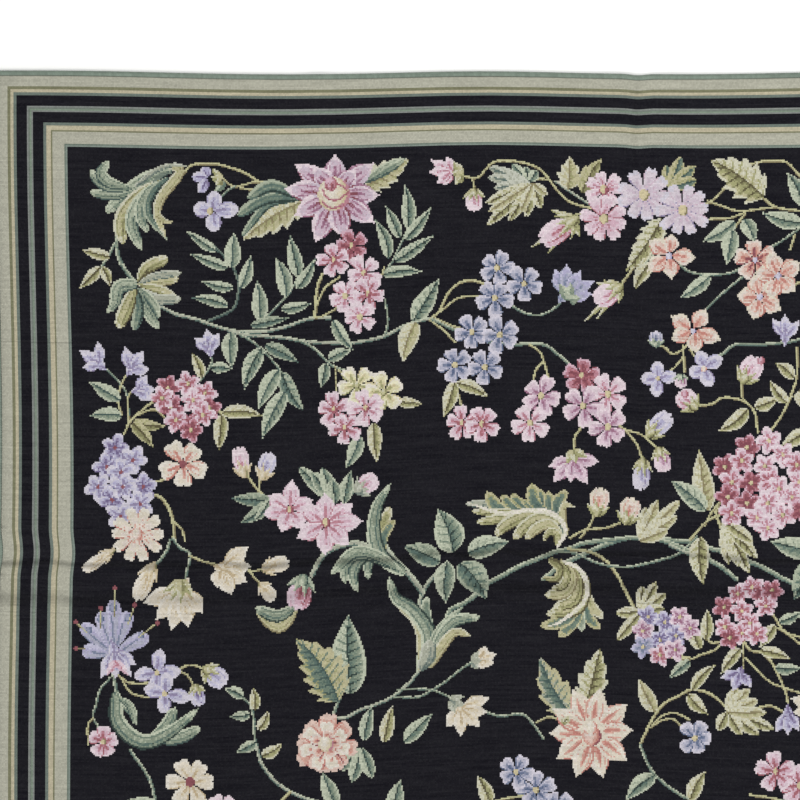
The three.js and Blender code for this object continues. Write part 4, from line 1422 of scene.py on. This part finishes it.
def make_binding(name, outward, sizes, material):
    """An overcast edge: the section is carried along the cloth's edge, and drawn in towards its middle
    between the wraps of yarn by a rounded wave that slants round the section. The ends of the top and bottom
    ones round off."""
    out_x, out_y = outward
    full = RUG_WIDTH / 2 if out_x == 0 else CLOTH_LENGTH / 2
    steps = round(2 * full / sizes.wrap_pitch * sizes.wrap_steps)
    way = np.linspace(-full, full, steps + 1)
    across = way if out_x == 0 else np.full_like(way, out_x * CLOTH_WIDTH / 2)
    along = way if out_y == 0 else np.full_like(way, out_y * CLOTH_LENGTH / 2)
    x, y = laid_place(across, along)
    ring = np.array(SECTION)
    sides = len(ring)
    middle = np.array(SECTION_MIDDLE)
    slant = np.arange(sides) / sides * sizes.wrap_slant
    phase = way[:, None] / sizes.wrap_pitch + slant[None, :]
    swell = np.abs(np.cos(math.pi * phase)) ** SWELL_POWER
    rounded = np.ones_like(way)
    if out_x == 0:
        from_end = (full - np.abs(way)) / (BINDING_HEIGHT / 2)
        rounded = np.sqrt(1 - (1 - from_end.clip(0, 1)) ** 2).clip(END_THICKNESS, 1)
    size = (1 - sizes.wrap_depth * (1 - swell)) * rounded[:, None]
    section = middle + (ring - middle)[None] * size[:, :, None]
    away = SEAM_GAP + section[:, :, 0] * BINDING_WIDTH
    places = np.stack([x[:, None] + out_x * away, y[:, None] + out_y * away,
                       lift(across, along)[:, None] + np.maximum(section[:, :, 1], 0) * BINDING_HEIGHT], 2)
    number = np.arange((steps + 1) * sides).reshape(steps + 1, sides)
    around = np.roll(number, -1, axis=1)
    a, b, c, d = (n.ravel() for n in (number[:-1], around[:-1], around[1:], number[1:]))
    tube = np.vstack([np.stack([a, b, c], 1), np.stack([a, c, d], 1)])
    caps = np.vstack([np.stack([np.full(sides - 2, line[0]), line[2:], line[1:-1]], 1)
                      for line in (number[0], number[-1][::-1])])
    corners = np.vstack([tube, caps])
    if out_x - out_y > 0:
        corners = corners[:, ::-1]
    step_number, side_number = np.divmod(corners, sides)
    closes = (side_number == 0) & (side_number.max(1, keepdims=True) == sides - 1)
    side_number = np.where(closes, sides, side_number)
    share = step_number / (steps + 1) * BAKE_BANDS
    band = np.floor(share.min(1, keepdims=True) + ROUNDING)
    up = (band + BAND_EDGE + BAND_HEIGHT * side_number / sides) / BAKE_BANDS
    bake = np.stack([MAP_EDGE + BAND_LENGTH * (share - band), up], 2)
    wool = np.stack([step_number / sizes.wrap_steps, side_number / SIDES_A_STITCH], 2)
    smooth = np.arange(len(corners)) < len(tube)
    return make_mesh(name, places.reshape(-1, 3), corners, material, smooth,
                     (("stitches", wool), ("OFBake", bake)))


# Finishes

# How much light the loose lint adds, at its most, to the wool's own colour, how many stitches a worn crease
# wanders, and the distance of the canvas threads' waves.
LINT = 0.0048
CREASE_WANDER = 8.0
THREAD_PITCH = 0.0024


def add_node(tree, kind, inputs=(), **settings):
    """A shader node with its settings, and its inputs linked from other nodes' sockets or set to values."""
    node = tree.nodes.new(kind)
    for name, value in settings.items():
        setattr(node, name, value)
    for place, value in dict(inputs).items():
        if isinstance(value, bpy.types.NodeSocket):
            tree.links.new(value, node.inputs[place])
        else:
            node.inputs[place].default_value = value
    return node


def sums(tree, operation, *values):
    """The result of a Math node over its values."""
    return add_node(tree, "ShaderNodeMath", dict(enumerate(values)), operation=operation).outputs[0]


def vectors(tree, operation, *values):
    """The result of a Vector Math node over its values."""
    return add_node(tree, "ShaderNodeVectorMath", dict(enumerate(values)), operation=operation).outputs[0]


def split(tree, vector):
    """The three parts of a vector."""
    return add_node(tree, "ShaderNodeSeparateXYZ", {0: vector}).outputs


def flat_noise(tree, place, scale, detail):
    """Soft noise of 0 to 1 that ignores the third part of its place."""
    return add_node(tree, "ShaderNodeTexNoise", {"Vector": place, "Scale": scale, "Detail": detail},
                    noise_dimensions="2D").outputs[0]


def stitch_group():
    """Slanted stitches, one to each unit of Place. The height is a cosine wave across the slant times a
    cosine wave from row to row, and the shade is painted darker between stitches as shade, differs a little
    from stitch to stitch and drifts in long streaks along the rows. The fuzz is a little loose lint, the
    cube of an even chance, that drifts with the streaks."""
    tree = bpy.data.node_groups.new("slanted_stitches", "ShaderNodeTree")
    tree.interface.new_socket("Place", in_out="INPUT", socket_type="NodeSocketVector")
    for name, value in (("Gap Shade", 0.2), ("Uneven", 0.1), ("Streaks", 0.06)):
        tree.interface.new_socket(name, in_out="INPUT", socket_type="NodeSocketFloat").default_value = value
    for name in ("Height", "Shade", "Fuzz"):
        tree.interface.new_socket(name, in_out="OUTPUT", socket_type="NodeSocketFloat")
    given = add_node(tree, "NodeGroupInput").outputs
    across, along = split(tree, given["Place"])[:2]
    slant = sums(tree, "COSINE", sums(tree, "MULTIPLY", sums(tree, "SUBTRACT", across, along), WHOLE_TURN))
    rows = sums(tree, "COSINE", sums(tree, "MULTIPLY", along, WHOLE_TURN))
    height = sums(tree, "MULTIPLY", sums(tree, "MULTIPLY_ADD", slant, 0.5, 0.5),
                  sums(tree, "MULTIPLY_ADD", rows, -0.35, 0.65))
    stitch = vectors(tree, "FLOOR", given["Place"])
    noise = add_node(tree, "ShaderNodeTexWhiteNoise", {"Vector": stitch}, noise_dimensions="2D").outputs
    streak = flat_noise(tree, vectors(tree, "MULTIPLY", stitch, (0.030, 0.60, 0.0)), 1.0, 3.0)
    from_middle = sums(tree, "SUBTRACT", streak, 0.5)
    # Painted shade in the gaps between stitches, where the height is low.
    gap_shade = sums(tree, "MULTIPLY", sums(tree, "SUBTRACT", 1.0, height), given["Gap Shade"])
    uneven = sums(tree, "MULTIPLY", sums(tree, "SUBTRACT", noise["Value"], 0.5), given["Uneven"])
    drift = sums(tree, "MULTIPLY", from_middle, given["Streaks"])
    shade = sums(tree, "ADD", sums(tree, "SUBTRACT", sums(tree, "ADD", 1.0, uneven), gap_shade), drift)
    specks = sums(tree, "POWER", split(tree, noise["Color"])[1], 3.0)
    fuzz = sums(tree, "MULTIPLY_ADD", from_middle, 2.5, specks)
    add_node(tree, "NodeGroupOutput", {"Height": height, "Shade": shade, "Fuzz": fuzz})
    return tree


def stitches(tree, place, gap, uneven, streaks):
    """The stitch group placed in a material: its height, its shade and its fuzz."""
    group = bpy.data.node_groups.get("slanted_stitches") or stitch_group()
    node = add_node(tree, "ShaderNodeGroup", node_tree=group)
    tree.links.new(place, node.inputs["Place"])
    for name, value in (("Gap Shade", gap), ("Uneven", uneven), ("Streaks", streaks)):
        node.inputs[name].default_value = value
    return [node.outputs[name] for name in ("Height", "Shade", "Fuzz")]


def crease_shade(tree, place, sizes):
    """1 on the open cloth and less along the creases, where painted shade and wear darken the wool: a smooth
    dip round each line. Slow noise lets a line wander by a few stitches, and lose from half to one and a
    half times its share of the light."""
    spread = flat_noise(tree, place, 0.03, 2.0)
    across, along = split(tree, place)[:2]
    shade = None
    for way, middle, reach, loss in CREASE_SHADE_AND_WEAR:
        part, count, full = ((across, sizes.columns, CLOTH_WIDTH) if way == "across"
                             else (along, sizes.rows, CLOTH_LENGTH))
        start = (middle / full + 0.5) * count - CREASE_WANDER / 2
        line = sums(tree, "MULTIPLY_ADD", spread, CREASE_WANDER, start)
        distance = sums(tree, "ABSOLUTE", sums(tree, "SUBTRACT", part, line))
        kept = sums(tree, "MULTIPLY_ADD", spread, loss, 1 - 1.5 * loss)
        dip = add_node(tree, "ShaderNodeMapRange", {0: distance, 2: reach / full * count, 3: kept, 4: 1.0},
                       interpolation_type="SMOOTHSTEP").outputs[0]
        shade = sums(tree, "MULTIPLY", shade, dip) if shade else dip
    return shade


def new_material(name, roughness, sheen, specular):
    """A material with its main shader: matte, with the soft sheen of wool."""
    material = bpy.data.materials.new(name)
    material.use_nodes = True
    shader = material.node_tree.nodes["Principled BSDF"]
    shader.inputs["Roughness"].default_value = roughness
    shader.inputs["Sheen Weight"].default_value = sheen
    shader.inputs["Sheen Roughness"].default_value = 0.5
    shader.inputs["Specular IOR Level"].default_value = specular
    return material, material.node_tree, shader


def dye(tree, shader, dye_colour, shade):
    """Gives a shader one colour, made lighter or darker by a shade."""
    dyed = add_node(tree, "ShaderNodeVectorMath", {0: tuple(linear(dye_colour)), "Scale": shade},
                    operation="SCALE")
    tree.links.new(dyed.outputs[0], shader.inputs["Base Color"])


def roughen(tree, shader, height, strength, distance):
    """Bumps a shader's normal by a height."""
    bumps = add_node(tree, "ShaderNodeBump", {"Height": height, "Strength": strength, "Distance": distance})
    tree.links.new(bumps.outputs[0], shader.inputs["Normal"])


def wool_material(sizes):
    """The worked wool: each face's own yarn colour, under slanted stitches with painted shade between them,
    painted crease shade and wear, and lint.
    """
    material, tree, shader = new_material("stitched_wool", 0.93, 0.04, 0.12)
    yarn = add_node(tree, "ShaderNodeAttribute", attribute_name="yarn_colour").outputs["Color"]
    place = add_node(tree, "ShaderNodeUVMap", uv_map="stitches").outputs[0]
    # Painted shade darkens the gaps between stitches, and painted shade and wear darken the creases.
    height, shade, fuzz = stitches(tree, place, 0.30, 0.17, 0.28)
    shade = sums(tree, "MULTIPLY", shade, crease_shade(tree, place, sizes))
    shaded_and_worn = vectors(tree, "MULTIPLY_ADD", yarn, shade, sums(tree, "MULTIPLY", fuzz, LINT))
    tree.links.new(shaded_and_worn, shader.inputs["Base Color"])
    roughen(tree, shader, height, 0.55, sizes.stitch_relief)
    return material


def binding_material(sizes, colours):
    """The overcast edge: one grey green wool, whose wraps are modelled, under slanted stitches with painted
    shade between them.
    """
    material, tree, shader = new_material("edge_wool", 0.93, 0.06, 0.12)
    place = add_node(tree, "ShaderNodeUVMap", uv_map="stitches").outputs[0]
    # The gap setting paints shade between the stitches.
    height, shade, _ = stitches(tree, place, 0.18, 0.20, 0.20)
    dye(tree, shader, colours.binding, shade)
    roughen(tree, shader, height, 0.4, sizes.stitch_relief)
    return material


def canvas_material(colours):
    """The canvas back: plain undyed threads that cross over and under, with painted shade between their
    crowns, on Object coordinates.
    """
    material, tree, shader = new_material("canvas_threads", 0.9, 0.05, 0.2)
    place = add_node(tree, "ShaderNodeTexCoord").outputs["Object"]
    waves = [sums(tree, "SINE", sums(tree, "MULTIPLY", part, WHOLE_TURN / THREAD_PITCH))
             for part in split(tree, place)[:2]]
    height = sums(tree, "MULTIPLY_ADD", sums(tree, "MULTIPLY", *waves), 0.5, 0.5)
    cloud = add_node(tree, "ShaderNodeTexNoise", {"Vector": place, "Scale": 9.0, "Detail": 4.0}).outputs[0]
    # Painted shade: darkest where the threads' height is lowest, with a slow cloud of uneven tone.
    shade = sums(tree, "MULTIPLY_ADD", cloud, 0.2, sums(tree, "MULTIPLY_ADD", height, 0.25, 0.65))
    dye(tree, shader, colours.canvas, shade)
    roughen(tree, shader, height, 0.5, 0.0005)
    return material


# Stage. The sun's size and its turns round X and Y are in degrees.

FLOOR_HALF = 60.0
FLOOR_DROP = 0.0004
CAMERA_HEIGHT = 6.0
SENSOR_WIDTH = 36.0
SUN_SIZE = 12
SUN_TURNS = (30, -38, 0)
PANEL_SIZE = 1.0
PANEL_PLACE = (0.6, 1.3, 2.4)


def make_floor(colours):
    """A plain pale floor just under the rug."""
    places = [(x * FLOOR_HALF, y * FLOOR_HALF, -FLOOR_DROP) for x, y in ((-1, -1), (1, -1), (1, 1), (-1, 1))]
    mesh = bpy.data.meshes.new("pale_floor")
    mesh.from_pydata(places, [], [(0, 1, 2, 3)])
    floor = bpy.data.objects.new("pale_floor", mesh)
    bpy.context.scene.collection.objects.link(floor)
    material, _, shader = new_material("pale_floor", 0.95, 0.0, 0.1)
    shader.inputs["Base Color"].default_value = (*linear(np.array(colours.floor)), 1)
    mesh.materials.append(material)


def make_light(stage):
    """Even light from all round, a soft low light from the left that shows the folds, and a light panel over
    the photo's top right, which is a little brighter."""
    world = bpy.data.worlds.new("soft_room")
    world.use_nodes = True
    room = world.node_tree.nodes["Background"].inputs
    room["Color"].default_value = (1, 1, 1, 1)
    room["Strength"].default_value = stage.room_light
    bpy.context.scene.world = world
    lamp = bpy.data.lights.new("side_light", "SUN")
    lamp.energy = stage.side_light
    lamp.angle = math.radians(SUN_SIZE)
    sun = bpy.data.objects.new("side_light", lamp)
    sun.rotation_euler = [math.radians(turn) for turn in SUN_TURNS]
    bpy.context.scene.collection.objects.link(sun)
    panel = bpy.data.lights.new("top_panel", "AREA")
    panel.energy = stage.panel_light
    panel.size = PANEL_SIZE
    hung = bpy.data.objects.new("top_panel", panel)
    hung.location = PANEL_PLACE
    hung.visible_camera = False
    bpy.context.scene.collection.objects.link(hung)


def make_camera():
    """A long lens straight over the photo's own middle, as wide as the photo at its scale."""
    width = VIEW_PIXELS * METRES_PER_PIXEL
    lens = bpy.data.cameras.new("photo_view")
    lens.sensor_width = SENSOR_WIDTH
    lens.lens = SENSOR_WIDTH * (CAMERA_HEIGHT - CLOTH_THICKNESS) / width
    camera = bpy.data.objects.new("photo_view", lens)
    camera.location = ((VIEW_CENTRE[0] - MIDDLE_X) * METRES_PER_PIXEL,
                       (MIDDLE_Y - VIEW_CENTRE[1]) * METRES_PER_PIXEL, CAMERA_HEIGHT)
    bpy.context.scene.collection.objects.link(camera)
    bpy.context.scene.camera = camera
    bpy.context.scene.view_settings.view_transform = "Standard"


# The add-on

def count_property(name, description, default, least):
    """A property that counts."""
    return bpy.props.IntProperty(name=name, description=description, default=default, min=least)


def number_property(name, description, default):
    """A property without a unit."""
    return bpy.props.FloatProperty(name=name, description=description, default=default)


def length_property(name, description, default):
    """A length in metres."""
    return bpy.props.FloatProperty(name=name, description=description, default=default, unit="LENGTH",
                                   precision=5)


def colour_property(name, description, default):
    """A colour, whose default is given as sRGB 0 to 255."""
    return bpy.props.FloatVectorProperty(name=name, description=description, size=3, min=0, max=1,
                                         default=tuple(c / 255 for c in default), subtype="COLOR_GAMMA")


class RugSizes(bpy.types.PropertyGroup):
    """How finely the rug is worked."""
    columns: count_property("Columns", "Stitches across the cloth", 857, 200)
    rows: count_property("Rows", "Stitches along the cloth", 1074, 200)
    face_thickness: length_property("Face thickness", "Thickness of the worked wool over the canvas", 0.0008)
    face_gap: length_property("Face gap", "Room between the worked wool and the canvas", 0.0001)
    stitch_relief: length_property("Stitch relief", "How far a stitch stands out of the face", 0.0007)
    wrap_pitch: length_property("Wrap pitch", "Distance between two wraps of the overcast edge", 0.0048)
    wrap_steps: count_property("Wrap steps", "Steps modelled in one wrap", 4, 2)
    wrap_depth: number_property("Wrap depth", "Share that the edge draws in between wraps", 0.16)
    wrap_slant: number_property("Wrap slant", "Wraps that one turn round the edge moves along by", 1.0)


class RugColours(bpy.types.PropertyGroup):
    """Colours beside the chart's own yarns."""
    binding: colour_property("Binding", "Wool of the overcast edge", (122, 135, 123))
    canvas: colour_property("Canvas", "Threads of the canvas back", (186, 174, 150))
    floor: colour_property("Floor", "The plain floor", (246, 246, 244))


class RugStage(bpy.types.PropertyGroup):
    """Light on the stage."""
    room_light: number_property("Room light", "Strength of the even light", 0.84)
    side_light: number_property("Side light", "Strength of the low light", 1.0)
    panel_light: number_property("Panel light", "Watts of the light panel", 12.0)


class RUG_OT_stage(bpy.types.Operator):
    """Puts up the floor, the lights and the camera"""
    bl_idname = "rug.stage"
    bl_label = "Stage"

    def execute(self, context):
        make_camera()
        make_floor(context.scene.rug_colours)
        make_light(context.scene.rug_stage)
        return {"FINISHED"}


class RUG_OT_face(bpy.types.Operator):
    """Works the chart and lays it as the rug's woollen face"""
    bl_idname = "rug.face"
    bl_label = "Worked face"

    def execute(self, context):
        sizes = context.scene.rug_sizes
        chart = Chart(sizes.columns, sizes.rows)
        work_design(chart)
        work_border(chart)
        for piece in make_face(chart, sizes, wool_material(sizes)):
            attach(piece, "root")
        return {"FINISHED"}


class RUG_OT_canvas(bpy.types.Operator):
    """Makes the canvas and backing under the worked face"""
    bl_idname = "rug.canvas"
    bl_label = "Canvas"

    def execute(self, context):
        scene = context.scene
        canvas = make_canvas(scene.rug_sizes, canvas_material(scene.rug_colours))
        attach(canvas, "root")
        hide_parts("rug_cloth")
        return {"FINISHED"}


# The way out of the cloth at each of its sides.
BINDINGS = (("left", (-1, 0)), ("right", (1, 0)), ("top", (0, 1)), ("bottom", (0, -1)))


class RUG_OT_bindings(bpy.types.Operator):
    """Overcasts the four edges with wool"""
    bl_idname = "rug.bindings"
    bl_label = "Overcast edges"

    def execute(self, context):
        sizes, colours = context.scene.rug_sizes, context.scene.rug_colours
        material = binding_material(sizes, colours)
        for side, outward in BINDINGS:
            binding = make_binding(f"overcast_{side}", outward, sizes, material)
            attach(binding, "root")
            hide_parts(f"binding_{side}")
        return {"FINISHED"}


class RUG_PT_panel(bpy.types.Panel):
    """The rug's pieces and their sizes"""
    bl_idname = "RUG_PT_panel"
    bl_label = "Rug"
    bl_space_type = "VIEW_3D"
    bl_region_type = "UI"
    bl_category = "Rug"

    def draw(self, context):
        for maker in MAKERS:
            self.layout.operator(maker.bl_idname)
        for name, _ in GROUPS:
            group = getattr(context.scene, name)
            box = self.layout.box()
            for value in group.__annotations__:
                box.prop(group, value)


MAKERS = (RUG_OT_stage, RUG_OT_canvas, RUG_OT_face, RUG_OT_bindings)
GROUPS = (("rug_sizes", RugSizes), ("rug_colours", RugColours), ("rug_stage", RugStage))


def register():
    for name, group in GROUPS:
        bpy.utils.register_class(group)
        setattr(bpy.types.Scene, name, bpy.props.PointerProperty(type=group))
    for item in (*MAKERS, RUG_PT_panel):
        bpy.utils.register_class(item)


def unregister():
    for item in (RUG_PT_panel, *reversed(MAKERS)):
        bpy.utils.unregister_class(item)
    for name, group in reversed(GROUPS):
        delattr(bpy.types.Scene, name)
        bpy.utils.unregister_class(group)


def main():
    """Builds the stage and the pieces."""
    register()
    bpy.ops.rug.stage()
    bpy.ops.rug.canvas()
    bpy.ops.rug.face()
    bpy.ops.rug.bindings()


if __name__ == "__main__":
    main()
